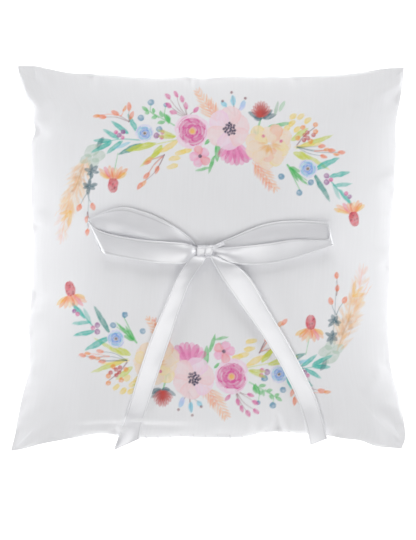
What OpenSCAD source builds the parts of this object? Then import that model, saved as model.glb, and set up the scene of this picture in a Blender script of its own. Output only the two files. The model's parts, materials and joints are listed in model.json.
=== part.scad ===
// Ring bearer pillow: a square stuffed cushion with a narrow satin ribbon tied in a bow at its centre.
// It lies on its back. +Z points out of the printed front, +Y towards the top of the print, +X to the right.
// The origin is on the resting plane, under the centre of the cushion's outline. All sizes are in millimetres.

/* [Cushion] */
// Distance between the corner tips, left to right
corner_span_x = 201; // [180:1:240]
// Distance between the corner tips, bottom to top
corner_span_y = 198; // [180:1:240]
// How far the filling draws each side in at its middle
side_draw_in = 8.5; // [4:0.5:14]
// Height of the side seam above the resting plane
seam_height = 27; // [22:0.5:32]
// Height of the stuffed crown, without the dimple
crown_height = 60; // [50:1:70]
// Depth of the dimple that the centre tack makes in the front
dimple_depth = 6; // [2:0.5:8]
// Radius of that dimple
dimple_radius = 15; // [12:1:22]
// Thickness of each cover panel
fabric = 0.8; // [0.6:0.1:1.2]
// Width of the seam allowance that is turned in at the sides
allowance = 8; // [6:0.5:10]

/* [Stitches] */
// Distance between two machine stitches along the sides
stitch_pitch = 4; // [3:0.5:6]
// Length of the opening in the lower side that is closed by hand after stuffing
opening_length = 90; // [60:5:120]
// Distance between two hand stitches along that opening
closing_pitch = 6; // [4:0.5:10]
// Radius of the sewing thread
thread_r = 0.2; // [0.15:0.05:0.3]
// Radius of the bundle of threads that makes the centre tack
tack_r = 0.6; // [0.4:0.1:0.7]

/* [Ribbon] */
// Width of the satin ribbon
ribbon_w = 11.5; // [9:0.5:13]
// Thickness of the ribbon, taken double so that it makes a sound solid
ribbon_t = 0.5; // [0.4:0.1:0.6]
// Centre of the bow's knot, measured to the right of the outline's centre
knot_x = -1; // [-3:0.5:3]
// Centre of the bow's knot, measured up from the outline's centre
knot_y = 3.5; // [0:0.5:5]
// Width of the knot from its left side to its right side
knot_w = 10; // [9:0.5:11]
// Length of the knot across the ribbon that it grips
knot_l = 9; // [8:0.5:10]
// Height of the knot
knot_h = 7; // [6:0.5:8]

/* [Hidden] */

half_x = corner_span_x / 2;
half_y = corner_span_y / 2;
crown_rise = crown_height - seam_height;
back_rise = seam_height + 2;      // the crown of the back would reach 2 mm below the plane that flattens it
back_dimple_depth = 4.5;
back_dimple_radius = 9;
crown_power = 0.72;               // below 1 makes the cushion rise more steeply at its sides
draw_power = 3.5;                 // shape of the curve along each drawn-in side
corner_softness = 0.015;          // share of the corner's reach that rounding takes away
seam_gap = 0.15;                  // half the gap between the two panels at the seam
tack_hole_r = 0.9;
side_steps = 14;                  // points along each side of a ring
ring_steps = 16;                  // rings from the centre to the seam
fill_edge = 0.885;                // where the filling stops, as a share of the way from the centre to the seam
fill_nose = 0.893;
fill_gap = 0.7;                   // clear of the panels' flat facets
lay_gap = 0.4;                    // the ribbon lies this far above the cover
white_satin = [0.93, 0.93, 0.95];
plain_white = [0.90, 0.90, 0.91];
fibre_white = [0.97, 0.97, 0.95];
thread_white = [0.86, 0.86, 0.88];

// ---- the cushion's surface ----
// u and v run from -1 to 1 across the square cover. A ring joins points of equal height, so it is nearly round
// at the centre and has the outline's own shape at the seam.

function draw_in(t) = side_draw_in * (1 - pow(abs(t), draw_power));

function level(u, v) = max(0, (1 - u * u) * (1 - v * v));

// a point of the cover, seen from above; the centre of the cover is carried to the knot
function plan(u, v) = [
    u * (half_x - draw_in(v)) + knot_x * level(u, v),
    v * (half_y - draw_in(u)) + knot_y * level(u, v)
];

// how far out along the ray (1, m) the ring of size r lies
function reach(r, m) = r * sqrt(2 / (1 + m * m + sqrt(pow(1 + m * m, 2) - 4 * m * m * r * r)));

function side_point(k) =
    let (side = floor(k / side_steps), t = 2 * (k % side_steps) / side_steps - 1)
    side == 0 ? [1, t] : side == 1 ? [-t, 1] : side == 2 ? [-1, -t] : [t, -1];

function rounded(p) = p * (1 - corner_softness * pow(abs(p.x * p.y), 8));

function dimple(p, depth, radius) = depth * exp(-(pow(p.x - knot_x, 2) + pow(p.y - knot_y, 2)) / (radius * radius));

function front_z(uv) =
    seam_height + seam_gap + crown_rise * pow(level(uv.x, uv.y), crown_power)
    - dimple(plan(uv.x, uv.y), dimple_depth, dimple_radius) * smooth_end(level(uv.x, uv.y));

function back_z(uv) =
    seam_height - seam_gap - back_rise * pow(level(uv.x, uv.y), crown_power)
    + dimple(plan(uv.x, uv.y), back_dimple_depth, back_dimple_radius) * smooth_end(level(uv.x, uv.y));

function smooth_end(share) = min(1, 4 * share);

// u and v of one point of a ring
function ring_uv(r, k) =
    let (s = side_point(k), m = min(abs(s.x), abs(s.y)))
    rounded(s) * reach(r, m);

// u and v under a place on the front, found by stepping back through plan()
function uv_at(p, uv = [0, 0], steps = 5) =
    steps == 0 ? uv
    : uv_at(
        p,
        [
            (p.x - knot_x * level(uv.x, uv.y)) / (half_x - draw_in(uv.y)),
            (p.y - knot_y * level(uv.x, uv.y)) / (half_y - draw_in(uv.x))
        ],
        steps - 1
    );

function crown_z(x, y) = front_z(uv_at([x, y]));

// ---- solids made of rings ----
// A closed tube of rings: each ring is joined to the next one, and the last to the first.

module ring_tube(rings) {
    count = len(rings[0]);
    points = [for (ring = rings) each ring];
    faces = [
        for (i = [0 : len(rings) - 1], k = [0 : count - 1])
            let (
                a = i * count + k,
                b = i * count + (k + 1) % count,
                c = (i + 1) % len(rings) * count + (k + 1) % count,
                d = (i + 1) % len(rings) * count + k
            )
            each [[a, b, c], [a, c, d]]
    ];
    polyhedron(points, faces, convexity = 8);
}

ring_count = 4 * side_steps;
hole_share = tack_hole_r / (half_x - side_draw_in);

// rings from the tack hole to the given size, closer together in the dimple and towards the seam
function shares(last, steps) = [
    for (i = [0 : steps]) hole_share + (last - hole_share) * sin(90 * pow(i / steps, 1.25))
];

// where the inner face of a panel meets its turned-in allowance
fold_share = sqrt(1 - pow(2 * fabric / crown_rise, 1 / crown_power));

function allowance_uv(k) =
    let (s = side_point(k), m = min(abs(s.x), abs(s.y)))
    rounded(s) * (reach(fold_share, m) - allowance / half_x);

function at_height(uv, z) = let (p = plan(uv.x, uv.y)) [p.x, p.y, z];

// ---- cover ----

module front_panel() {
    flange_low = seam_height + seam_gap;
    flange_high = flange_low + fabric;
    outer = [
        for (r = shares(1, ring_steps))
            [for (k = [0 : ring_count - 1]) let (uv = ring_uv(r, k)) at_height(uv, front_z(uv))]
    ];
    inner = [
        for (r = shares(fold_share, ring_steps))
            [for (k = [0 : ring_count - 1]) let (uv = ring_uv(r, k)) at_height(uv, front_z(uv) - fabric)]
    ];
    flange = [
        for (z = [flange_low, flange_high])
            [for (k = [0 : ring_count - 1]) at_height(allowance_uv(k), z)]
    ];
    color(white_satin)
    ring_tube([each outer, each flange, for (i = [ring_steps : -1 : 0]) inner[i]]);
}

module back_panel() {
    flange_high = seam_height - seam_gap;
    flange_low = flange_high - fabric;
    outer = [
        for (r = shares(1, ring_steps))
            [for (k = [0 : ring_count - 1]) let (uv = ring_uv(r, k)) at_height(uv, back_z(uv))]
    ];
    inner = [
        for (r = shares(fold_share, ring_steps))
            [for (k = [0 : ring_count - 1]) let (uv = ring_uv(r, k)) at_height(uv, max(fabric, back_z(uv) + fabric))]
    ];
    flange = [
        for (z = [flange_high, flange_low])
            [for (k = [0 : ring_count - 1]) at_height(allowance_uv(k), z)]
    ];
    color(plain_white)
    intersection() {
        ring_tube([for (i = [0 : ring_steps]) inner[i], flange[1], flange[0], for (i = [ring_steps : -1 : 0]) outer[i]]);
        // the cushion's weight flattens the back where it rests
        translate([-half_x - 5, -half_y - 5, 0])
        cube([2 * half_x + 10, 2 * half_y + 10, seam_height]);
    }
}

// ---- filling ----

module filling() {
    top = [
        for (r = shares(fill_edge, ring_steps))
            [
                for (k = [0 : ring_count - 1])
                    let (uv = ring_uv(r, k)) at_height(uv, front_z(uv) - fabric - fill_gap)
            ]
    ];
    bottom = [
        for (r = shares(fill_edge, ring_steps))
            [
                for (k = [0 : ring_count - 1])
                    let (uv = ring_uv(r, k)) at_height(uv, max(fabric, back_z(uv) + fabric) + fill_gap)
            ]
    ];
    nose = [for (k = [0 : ring_count - 1]) at_height(ring_uv(fill_nose, k), seam_height)];
    color(fibre_white)
    ring_tube([each top, nose, for (i = [ring_steps : -1 : 0]) bottom[i]]);
}

// ---- threads ----

seam_inset = 1.6;                 // the stitches run this far inside the outline

// a place on a side's seam line, where t runs from -1 to 1 along the side and turn picks the side
function seam_place(t, turn) =
    let (
        along_x = turn % 2 == 0,
        half_long = along_x ? half_x : half_y,
        half_short = along_x ? half_y : half_x,
        out = half_short - draw_in(t) - seam_inset,
        sign = turn < 2 ? 1 : -1
    )
    along_x ? [t * half_long, sign * out] : [sign * out, t * half_long];

module perimeter_seam_thread() {
    stitch_h = 2 * seam_gap + fabric;
    corner_stop = 0.86;
    count = floor(corner_stop * half_x / stitch_pitch);
    color(thread_white)
    for (turn = [0 : 3], i = [-count : count]) {
        t = i * stitch_pitch / half_x;
        in_opening = turn == 2 && abs(t * half_x) < opening_length / 2;
        if (!in_opening) {
            place = seam_place(t, turn);
            translate([place.x, place.y, seam_height - stitch_h / 2])
            cylinder(r = thread_r, h = stitch_h, $fn = 16);
        }
    }
}

module closing_stitches() {
    stitch_l = 2.4;
    lean = 25;
    count = floor(opening_length / closing_pitch / 2 - 0.25);
    color(thread_white)
    for (i = [-count : count]) {
        t = i * closing_pitch / half_x;
        translate([t * half_x, -(half_y - draw_in(t)) + 0.25, seam_height])
        rotate([0, lean, 0])
        cylinder(r = thread_r, h = stitch_l, center = true, $fn = 16);
    }
}

base_z = crown_z(knot_x, knot_y);
tack_top = base_z + lay_gap + ribbon_t + tack_r + 0.5;
back_dimple_z = back_dimple_depth - back_rise + seam_height - seam_gap;

module centre_tack_thread() {
    bar_l = 5;
    tie_r = 1.2;
    tie_h = 0.9;
    tack_low = back_dimple_z - 0.1 - tie_h;
    color(thread_white)
    translate([knot_x, knot_y, 0])
    union() {
        translate([0, 0, tack_low])
        cylinder(r = tack_r, h = tack_top - tack_low, $fn = 24);
        // the tied-off end under the back panel
        translate([0, 0, tack_low])
        cylinder(r = tie_r, h = tie_h, $fn = 24);
        // the bar of thread that holds the ribbon down, under the knot
        translate([-bar_l / 2, 0, tack_top])
        rotate([0, 90, 0])
        cylinder(r = tack_r, h = bar_l, $fn = 24);
    }
}

// ---- ribbon ----
// A strip is a list of stations. Each station holds a point on the ribbon's first edge and one on its second.

function unit(v) = v / norm(v);

function strip_normal(stations, i) =
    let (
        prev = max(0, i - 1),
        next = min(len(stations) - 1, i + 1),
        along = (stations[next][0] + stations[next][1]) - (stations[prev][0] + stations[prev][1]),
        across = stations[i][1] - stations[i][0]
    )
    unit(cross(across, along));

module strip(stations) {
    last = len(stations) - 1;
    points = [
        for (i = [0 : last])
            let (n = strip_normal(stations, i) * ribbon_t / 2, a = stations[i][0], b = stations[i][1])
            each [a + n, b + n, b - n, a - n]
    ];
    sides = [
        for (i = [0 : last - 1], k = [0 : 3])
            let (a = 4 * i + k, b = 4 * i + (k + 1) % 4)
            each [[a, b + 4, b], [a, a + 4, b + 4]]
    ];
    far = 4 * last;
    ends = [[0, 1, 2], [0, 2, 3], [far + 2, far + 1, far], [far + 3, far + 2, far]];
    polyhedron(points, concat(sides, ends), convexity = 8);
}

// the two edge points of a ribbon that lies on the crown with its middle at p, running towards angle heading
function laid(p, heading, lift, w = ribbon_w) =
    let (across = [sin(heading), -cos(heading)] * w / 2, a = p - across, b = p + across)
    [[a.x, a.y, crown_z(a.x, a.y) + lift], [b.x, b.y, crown_z(b.x, b.y) + lift]];

function mirror_order(station) = [station[1], station[0]];

// each tail's middle line, from inside the knot to its cut end: right, up
left_tail_line = [
    [-2.5, 0], [-6.5, -5], [-10, -9.5], [-14, -16], [-18.5, -24], [-22, -32], [-25, -40.5], [-27.5, -49],
    [-30.5, -58], [-33.5, -67], [-36.5, -76], [-39, -84], [-41.5, -94]
];
right_tail_line = [
    [0.5, 0], [5.5, -4.5], [11, -7.5], [16, -12], [21, -18.5], [26, -26.5], [30, -34], [34.5, -41.5],
    [40, -51], [45, -60], [49.5, -70], [53, -80], [56, -92.5]
];
tail_split = 2;                   // the tail bends up from this point of its line; before it, it belongs to the knot
base_lift = lay_gap + ribbon_t / 2;
// how far each point of a tail's line is above the cover: it arches out of the knot and settles on the cushion
tail_lifts = [3.6, 2.6, 2.4, 2.6, 2.6, 2.4, 2.2, 2, 1.8, 1.6, 1.4, 1.2, 1];
tail_root_widths = [5, 8.5];      // the knot gathers the ribbon to these widths at the first points
joint_gap = 0.5;

function line_heading(line, i) =
    let (a = line[max(0, i - 1)], b = line[min(len(line) - 1, i + 1)])
    atan2(b.y - a.y, b.x - a.x);

function tail_stations(line, first, last) = [
    for (i = [first : last])
        laid(
            line[i],
            line_heading(line, i),
            tail_lifts[i],
            i < len(tail_root_widths) ? tail_root_widths[i] : ribbon_w
        )
];

// a line whose given point is pushed towards the next one, which leaves a gap at the hinge
function from_split(line) =
    let (a = line[tail_split], b = line[tail_split + 1])
    [
        for (i = [0 : len(line) - 1])
            i == tail_split ? a + (b - a) / norm(b - a) * joint_gap : line[i]
    ];

// each loop's two edges, from the knot out under the loop, round its far end and back over it:
// first edge right, up and height above the crown, then second edge
left_loop_edges = [
    [[-7.0, 8.5, 2.6], [-7.0, 1.0, 2.6]],
    [[-15, 11.5, 2.4], [-13, 2.0, 2.4]],
    [[-25, 16.5, 3.0], [-22, 5.5, 2.6]],
    [[-35, 22.0, 3.2], [-31, 11.0, 2.6]],
    [[-45, 26.0, 3.4], [-42, 14.5, 2.6]],
    [[-54, 24.0, 4.0], [-50, 13.0, 2.6]],
    [[-60.0, 21.0, 5.6], [-55.0, 10.0, 3.0]],
    [[-62.0, 19.0, 8.0], [-56.5, 7.0, 5.5]],
    [[-60.0, 17.0, 10.4], [-55.0, 4.5, 9.0]],
    [[-54, 14.5, 11.4], [-50, 3.0, 10.6]],
    [[-45, 11.8, 11.6], [-42, 0.8, 11.0]],
    [[-35, 10.4, 10.8], [-33, -1.0, 10.2]],
    [[-25, 9.2, 9.4], [-24, -2.2, 8.6]],
    [[-16, 8.0, 7.4], [-15, -2.6, 6.6]],
    [[-7.0, 6.8, 5.4], [-7.0, -0.8, 5.4]]
];
right_loop_edges = [
    [[5.0, 8.5, 2.6], [5.0, 1.5, 2.6]],
    [[15, 12.0, 2.4], [14, 2.0, 2.4]],
    [[24, 16.0, 3.2], [25, 5.0, 2.6]],
    [[33, 18.3, 3.6], [34, 7.2, 2.6]],
    [[43, 18.8, 3.8], [43, 7.5, 2.6]],
    [[52, 18.4, 4.2], [53, 7.2, 2.8]],
    [[59.5, 17.8, 5.4], [61.0, 6.8, 4.0]],
    [[61.8, 17.2, 7.6], [63.6, 6.2, 6.4]],
    [[59.5, 15.6, 9.8], [61.0, 4.6, 9.2]],
    [[52, 13.0, 11.2], [52, 2.0, 10.8]],
    [[43, 10.4, 11.8], [42, -0.4, 11.2]],
    [[34, 8.2, 11.0], [33, -2.2, 10.4]],
    [[25, 7.2, 9.4], [24, -2.8, 8.8]],
    [[15, 6.2, 7.2], [14, -2.6, 6.8]],
    [[5.0, 5.6, 5.4], [5.0, -1.2, 5.4]]
];

function above_crown(p) = [p.x, p.y, crown_z(p.x, p.y) + p.z];

module bow_loop(edges) {
    strip([for (station = edges) [above_crown(station[0]), above_crown(station[1])]]);
}

module left_bow_loop() {
    color(white_satin) bow_loop([for (station = left_loop_edges) mirror_order(station)]);
}

module right_bow_loop() {
    color(white_satin) bow_loop(right_loop_edges);
}

module left_ribbon_tail() {
    line = from_split(left_tail_line);
    color(white_satin) strip(tail_stations(line, tail_split, len(line) - 1));
}

module right_ribbon_tail() {
    line = from_split(right_tail_line);
    color(white_satin) strip(tail_stations(line, tail_split, len(line) - 1));
}

// the middle of the ribbon, laid under the knot with a hole for the tack
module ribbon_base() {
    half_l = 7;
    base_w = 7;
    step = 2;
    color(white_satin)
    difference() {
        strip([for (x = [-half_l : step : half_l]) laid([knot_x + x, knot_y], 0, base_lift, base_w)]);
        translate([knot_x, knot_y, base_z - 1])
        cylinder(r = tack_hole_r, h = 4, $fn = 24);
    }
}

// the wrapped knot, hollow below for the tack's bar
module knot_body() {
    edge_r = 1.6;
    low = tack_top + tack_r + 0.25;
    translate([knot_x, knot_y, low])
    hull() {
        for (x = [-1, 1], y = [-1, 1]) {
            translate([x * (knot_w / 2 - edge_r), y * (knot_l / 2 - edge_r), edge_r])
            sphere(r = edge_r, $fn = 32);
            translate([x * (knot_w / 2 - edge_r - 1), y * (knot_l / 2 - edge_r), knot_h - edge_r - 0.6])
            sphere(r = edge_r, $fn = 32);
        }
    }
}

module bow_knot() {
    color(white_satin) {
        knot_body();
        strip(tail_stations(left_tail_line, 0, tail_split));
        strip(tail_stations(right_tail_line, 0, tail_split));
    }
}

front_panel();
back_panel();
filling();
perimeter_seam_thread();
closing_stitches();
centre_tack_thread();
ribbon_base();
bow_knot();
left_bow_loop();
right_bow_loop();
left_ribbon_tail();
right_ribbon_tail();
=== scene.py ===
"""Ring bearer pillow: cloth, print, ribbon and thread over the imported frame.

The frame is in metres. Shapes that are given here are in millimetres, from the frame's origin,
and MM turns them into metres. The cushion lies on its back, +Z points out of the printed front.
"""

import json
import math

import bpy
import numpy as np
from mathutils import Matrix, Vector
from mathutils.bvhtree import BVHTree


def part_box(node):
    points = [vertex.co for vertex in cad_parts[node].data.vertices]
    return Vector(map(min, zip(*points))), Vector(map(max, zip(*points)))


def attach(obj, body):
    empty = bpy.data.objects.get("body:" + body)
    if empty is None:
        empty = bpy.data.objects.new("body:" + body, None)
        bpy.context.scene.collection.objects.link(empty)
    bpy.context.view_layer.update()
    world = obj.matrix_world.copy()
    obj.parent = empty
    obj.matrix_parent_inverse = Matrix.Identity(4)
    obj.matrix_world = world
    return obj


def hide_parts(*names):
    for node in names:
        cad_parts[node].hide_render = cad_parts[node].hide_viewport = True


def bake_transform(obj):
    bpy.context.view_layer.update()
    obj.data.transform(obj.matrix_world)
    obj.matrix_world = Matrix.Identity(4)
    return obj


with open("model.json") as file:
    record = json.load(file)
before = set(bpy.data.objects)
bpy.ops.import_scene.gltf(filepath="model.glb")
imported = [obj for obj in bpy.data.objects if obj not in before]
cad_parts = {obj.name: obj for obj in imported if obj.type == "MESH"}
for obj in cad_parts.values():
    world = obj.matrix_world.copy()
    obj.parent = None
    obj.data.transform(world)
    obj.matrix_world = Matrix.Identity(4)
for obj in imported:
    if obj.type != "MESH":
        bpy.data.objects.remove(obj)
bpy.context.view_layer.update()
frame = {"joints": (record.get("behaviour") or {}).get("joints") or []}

MM = 0.001

# ---- sizes taken from the frame ----

front_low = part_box("front_panel")[0]
back_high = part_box("back_panel")[1]
hinge_of = {joint["child"]: Vector(joint["pos_m"]) for joint in frame["joints"]}

SEAM_Z = (front_low.z + back_high.z) / 2 / MM
SEAM_GAP = 0.15
KNOT_X = -1.0
KNOT_Y = 3.5
CROWN_RISE = 33.0
BACK_RISE = 29.0
CROWN_POWER = 0.72
FRONT_DIMPLE = (4.8, 14.0)
BACK_DIMPLE = (4.5, 9.0)
FLAT_SIDE = 200.0
HALF_SIDE = 95.0  # of the stuffed cushion, between its corners
CORNER = 97.0  # of the stuffed cushion, at its corners
# the camera looks straight down from this far above the seam, at a frame this wide in the seam's plane
VIEW_CENTRE = (-0.2, -5.8)
VIEW_WIDTH = 212.2
VIEW_DISTANCE = 2500.0

# ---- small helpers ----


def smooth_through(knots, values, at):
    """A smooth curve through values given at rising knots, read at the places in at."""
    knots = np.asarray(knots, float)
    values = np.asarray(values, float)
    at = np.asarray(at, float)
    slopes = np.gradient(values, knots, axis=0)
    i = np.clip(np.searchsorted(knots, at, side="right") - 1, 0, len(knots) - 2)
    gap = knots[i + 1] - knots[i]
    t = (at - knots[i]) / gap
    if values.ndim == 2:
        gap, t = gap[..., None], t[..., None]
    rise = 3 * t**2 - 2 * t**3
    return (
        values[i] * (1 - rise)
        + values[i + 1] * rise
        + slopes[i] * gap * (t**3 - 2 * t**2 + t)
        + slopes[i + 1] * gap * (t**3 - t**2)
    )


def ramp(x, low, high):
    """0 below low, 1 above high, and a smooth step between them."""
    t = np.clip((np.asarray(x, float) - low) / (high - low), 0, 1)
    return t * t * (3 - 2 * t)


class Noise:
    """Smooth random variation over the plane, from -1 to 1, with features about one unit across."""

    size = 64

    def __init__(self, seed):
        self.cells = np.random.RandomState(seed).uniform(-1, 1, (self.size, self.size))

    def __call__(self, x, y):
        x, y = np.broadcast_arrays(np.asarray(x, float), np.asarray(y, float))
        i, j = np.floor(x).astype(int), np.floor(y).astype(int)
        s, t = x - i, y - j
        s, t = s * s * (3 - 2 * s), t * t * (3 - 2 * t)
        a, b = i % self.size, (i + 1) % self.size
        c, d = j % self.size, (j + 1) % self.size
        low = self.cells[a, c] * (1 - s) + self.cells[b, c] * s
        high = self.cells[a, d] * (1 - s) + self.cells[b, d] * s
        return low * (1 - t) + high * t


def srgb(red, green, blue):
    """A colour given in the 0 to 255 values of a paint chart, as linear light."""
    c = np.array([red, green, blue]) / 255
    return np.where(c <= 0.04045, c / 12.92, ((c + 0.055) / 1.055) ** 2.4)


def add_object(name, data):
    obj = bpy.data.objects.new(name, data)
    bpy.context.scene.collection.objects.link(obj)
    return obj


def build(name, points, faces, material, uv=None):
    """A smooth mesh from points in millimetres. uv is each point's place on the flat cloth, in metres."""
    mesh = bpy.data.meshes.new(name)
    mesh.from_pydata((np.asarray(points, float) * MM).tolist(), [], faces)
    mesh.polygons.foreach_set("use_smooth", [True] * len(mesh.polygons))
    if uv is not None:
        corner = np.empty(len(mesh.loops), int)
        mesh.loops.foreach_get("vertex_index", corner)
        layer = mesh.uv_layers.new(name="flat")
        layer.data.foreach_set("uv", np.asarray(uv, float)[corner].ravel())
    mesh.materials.append(material)
    obj = add_object(name, mesh)
    return obj


def grid_faces(rows, columns, flip=False, around=False):
    """Quads between neighbouring points of a grid; around joins each row's last point to its first."""
    i, j = np.meshgrid(np.arange(rows - 1), np.arange(columns if around else columns - 1), indexing="ij")
    a = (i * columns + j).ravel()
    b = (i * columns + (j + 1) % columns).ravel()
    c, d = b + columns, a + columns
    return np.stack([a, b, c, d] if not flip else [d, c, b, a], axis=1).tolist()


# ---- the cushion ----
# The seam's four sides, seen from above, each from its lower or left corner: (place along it, how far out).

LEFT_SIDE = [
    (-98.2, -100.8), (-90, -98.8), (-82, -97.4), (-70, -95.0), (-58, -91.9), (-44, -91.3), (-34, -91.8),
    (-24, -90.9), (-12, -89.8), (2, -90.0), (12, -89.4), (22, -90.4), (36, -90.5), (50, -90.5), (60, -90.3),
    (65, -88.5), (71, -89.6), (77, -89.2), (83, -93.2), (90, -95.6), (98.3, -97.4),
]
RIGHT_SIDE = [
    (-97.0, 98.6), (-92, 100.4), (-86, 100.2), (-78, 98.8), (-70, 97.1), (-62, 94.6), (-54, 92.9),
    (-40, 92.1), (-26, 91.6), (-12, 92.5), (4, 93.1), (18, 93.6), (28, 94.2), (40, 95.5), (56, 95.8),
    (70, 95.9), (80, 97.7), (90, 99.2), (97.6, 99.8),
]
LOWER_SIDE = [
    (-100.8, -98.2), (-94, -97.0), (-86, -94.8), (-76, -92.8), (-66, -91.0), (-57, -89.4), (-50, -89.6),
    (-44, -90.8), (-30, -91.5), (-14, -90.9), (4, -91.4), (18, -91.0), (27, -89.0), (35, -88.3), (43, -89.0),
    (58, -89.8), (68, -91.7), (78, -93.0), (85, -95.6), (92, -96.4), (98.6, -97.0),
]
UPPER_SIDE = [
    (-97.4, 98.3), (-88, 98.2), (-80, 96.6), (-72, 95.0), (-58, 94.2), (-44, 93.2), (-30, 92.2), (-20, 92.3),
    (-12, 92.8), (-3, 92.1), (8, 92.8), (28, 92.8), (46, 92.9), (62, 93.6), (76, 94.7), (88, 96.8),
    (99.8, 97.6),
]


def side_curve(side, t):
    """The places along one side where t runs from -1 to 1: how far along, and how far out."""
    along, out = np.array(side).T
    place = along[0] + (along[-1] - along[0]) * (t + 1) / 2
    return place, smooth_through(along, out, place)


def cover_plan(u, v):
    """Places seen from above for a square cover whose two directions u and v run from -1 to 1."""
    s, t = (u + 1) / 2, (v + 1) / 2
    left_y, left_x = side_curve(LEFT_SIDE, v)
    right_y, right_x = side_curve(RIGHT_SIDE, v)
    lower_x, lower_y = side_curve(LOWER_SIDE, u)
    upper_x, upper_y = side_curve(UPPER_SIDE, u)
    corners = [[LOWER_SIDE[0], UPPER_SIDE[0]], [LOWER_SIDE[-1], UPPER_SIDE[-1]]]
    plan = []
    for axis, (left, right, lower, upper) in enumerate(
        [(left_x, right_x, lower_x, upper_x), (left_y, right_y, lower_y, upper_y)]
    ):
        between = (
            corners[0][0][axis] * (1 - s) * (1 - t)
            + corners[1][0][axis] * s * (1 - t)
            + corners[0][1][axis] * (1 - s) * t
            + corners[1][1][axis] * s * t
        )
        plan.append(left * (1 - s) + right * s + lower * (1 - t) + upper * t - between)
    level = (1 - u * u) * (1 - v * v)
    return plan[0] + KNOT_X * level, plan[1] + KNOT_Y * level


def stuffed(u, v, side):
    """The stuffed cover before it wrinkles: side is 1 for the front and -1 for the back."""
    level = np.maximum((1 - u * u) * (1 - v * v), 0)
    x, y = cover_plan(u, v)
    rise = CROWN_RISE if side > 0 else BACK_RISE
    return np.stack([x, y, SEAM_Z + side * (SEAM_GAP + rise * level**CROWN_POWER)], axis=-1)


def even_grid(cells):
    line = np.linspace(-1, 1, cells + 1)
    return np.meshgrid(line, line, indexing="ij")


def on_rim(u, v):
    return (np.abs(u) == 1) | (np.abs(v) == 1)


def sewn_pair(cells, rim, turned_side):
    """Two square grids that share their rim: the point numbers of each grid, those in use, and the faces."""
    count = cells + 1
    index = np.arange(2 * count * count).reshape(2, count, count)
    index[1][rim] = index[0][rim]
    quads = [
        [int(index[side].ravel()[k]) for k in quad]
        for side in (0, 1) for quad in grid_faces(count, count, flip=side == turned_side)
    ]
    used = sorted({k for quad in quads for k in quad})
    place = {k: n for n, k in enumerate(used)}
    return index, used, [[place[k] for k in quad] for quad in quads]


# ---- cloth simulation ----
# The two square sheets are joined along their edges, pushed out by the filling's volume and left to relax.

SIM_CELLS = 56
SIM_SCALE = 10.0
SIM_FRAMES = 12
SIM_LIMIT = 3.0  # no point moves further than this, in millimetres
SIM_CLOTH = {
    "quality": 8, "mass": 0.3, "tension_stiffness": 30, "shear_stiffness": 6, "compression_stiffness": 2,
    "bending_stiffness": 0.08, "tension_damping": 5, "compression_damping": 5, "shear_damping": 5,
    "air_damping": 3, "use_pressure": True, "uniform_pressure_force": 0, "use_pressure_volume": True,
    "pressure_factor": 30,
}


def relaxed_cover():
    """How far each point of the front and of the back moves when the sewn sheets relax, in millimetres."""
    u, v = even_grid(SIM_CELLS)
    count = SIM_CELLS + 1
    rim = on_rim(u, v)
    start = np.concatenate([stuffed(u, v, side).reshape(-1, 3) for side in (1, -1)])
    start[np.tile(rim.ravel(), 2), 2] = SEAM_Z
    index, used, faces = sewn_pair(SIM_CELLS, rim, 0)
    mesh = bpy.data.meshes.new("sewn_sheets")
    mesh.from_pydata((start[used] * MM * SIM_SCALE).tolist(), [], faces)
    obj = add_object("sewn_sheets", mesh)
    obj.shape_key_add(name="Basis")
    flat = obj.shape_key_add(name="flat")
    half = FLAT_SIDE / 2 * MM * SIM_SCALE
    for n, k in enumerate(used):
        side, spot = divmod(k, count * count)
        flat.data[n].co = (u.ravel()[spot] * half, v.ravel()[spot] * half, -1e-4 * side)
    cloth = obj.modifiers.new("cloth", "CLOTH")
    for name, value in SIM_CLOTH.items():
        setattr(cloth.settings, name, value)
    cloth.settings.rest_shape_key = flat
    cloth.settings.target_volume = closed_volume(start, index) * (MM * SIM_SCALE) ** 3
    cloth.settings.effector_weights.gravity = 0
    cloth.collision_settings.use_collision = False
    cloth.point_cache.frame_start = 1
    cloth.point_cache.frame_end = SIM_FRAMES + 1
    scene = bpy.context.scene
    for number in range(1, SIM_FRAMES + 1):
        scene.frame_set(number)
    shown = obj.evaluated_get(bpy.context.evaluated_depsgraph_get())
    after = np.empty(len(used) * 3)
    shown.data.vertices.foreach_get("co", after)
    moved = after.reshape(-1, 3) / MM / SIM_SCALE - start[used]
    reach = np.maximum(np.linalg.norm(moved, axis=1, keepdims=True), 1e-9)
    moved *= SIM_LIMIT * np.tanh(reach / SIM_LIMIT) / reach
    scene.frame_set(1)
    bpy.data.objects.remove(obj)
    full = np.zeros_like(start)
    full[used] = moved
    full = full.reshape(2, count, count, 3)
    full[1][rim] = full[0][rim]
    return full


def closed_volume(points, index):
    """The volume inside the two joined grids, in cubic millimetres."""
    total = 0.0
    for side in (0, 1):
        grid = points[index[side]]
        a, b, c, d = grid[:-1, :-1], grid[1:, :-1], grid[1:, 1:], grid[:-1, 1:]
        for p, q, r in ((a, b, c), (a, c, d)):
            part = np.einsum("ijk,ijk->", p, np.cross(q, r)) / 6
            total += part if side == 0 else -part
    return abs(total)


def spread(coarse, u, v):
    """Coarse grid values read at the finer places u, v."""
    cells = coarse.shape[0] - 1
    x, y = (u + 1) / 2 * cells, (v + 1) / 2 * cells
    i = np.clip(np.floor(x).astype(int), 0, cells - 1)
    j = np.clip(np.floor(y).astype(int), 0, cells - 1)
    s, t = (x - i)[..., None], (y - j)[..., None]
    s, t = s * s * (3 - 2 * s), t * t * (3 - 2 * t)
    return (coarse[i, j] * (1 - s) + coarse[i + 1, j] * s) * (1 - t) + (
        coarse[i, j + 1] * (1 - s) + coarse[i + 1, j + 1] * s
    ) * t


# ---- folds and puckers ----
# A fold is a soft ridge, or a valley where its height is negative, along a line seen from above:
# (points, height, half width). A pucker starts at the seam at full height and fades inwards.

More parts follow.
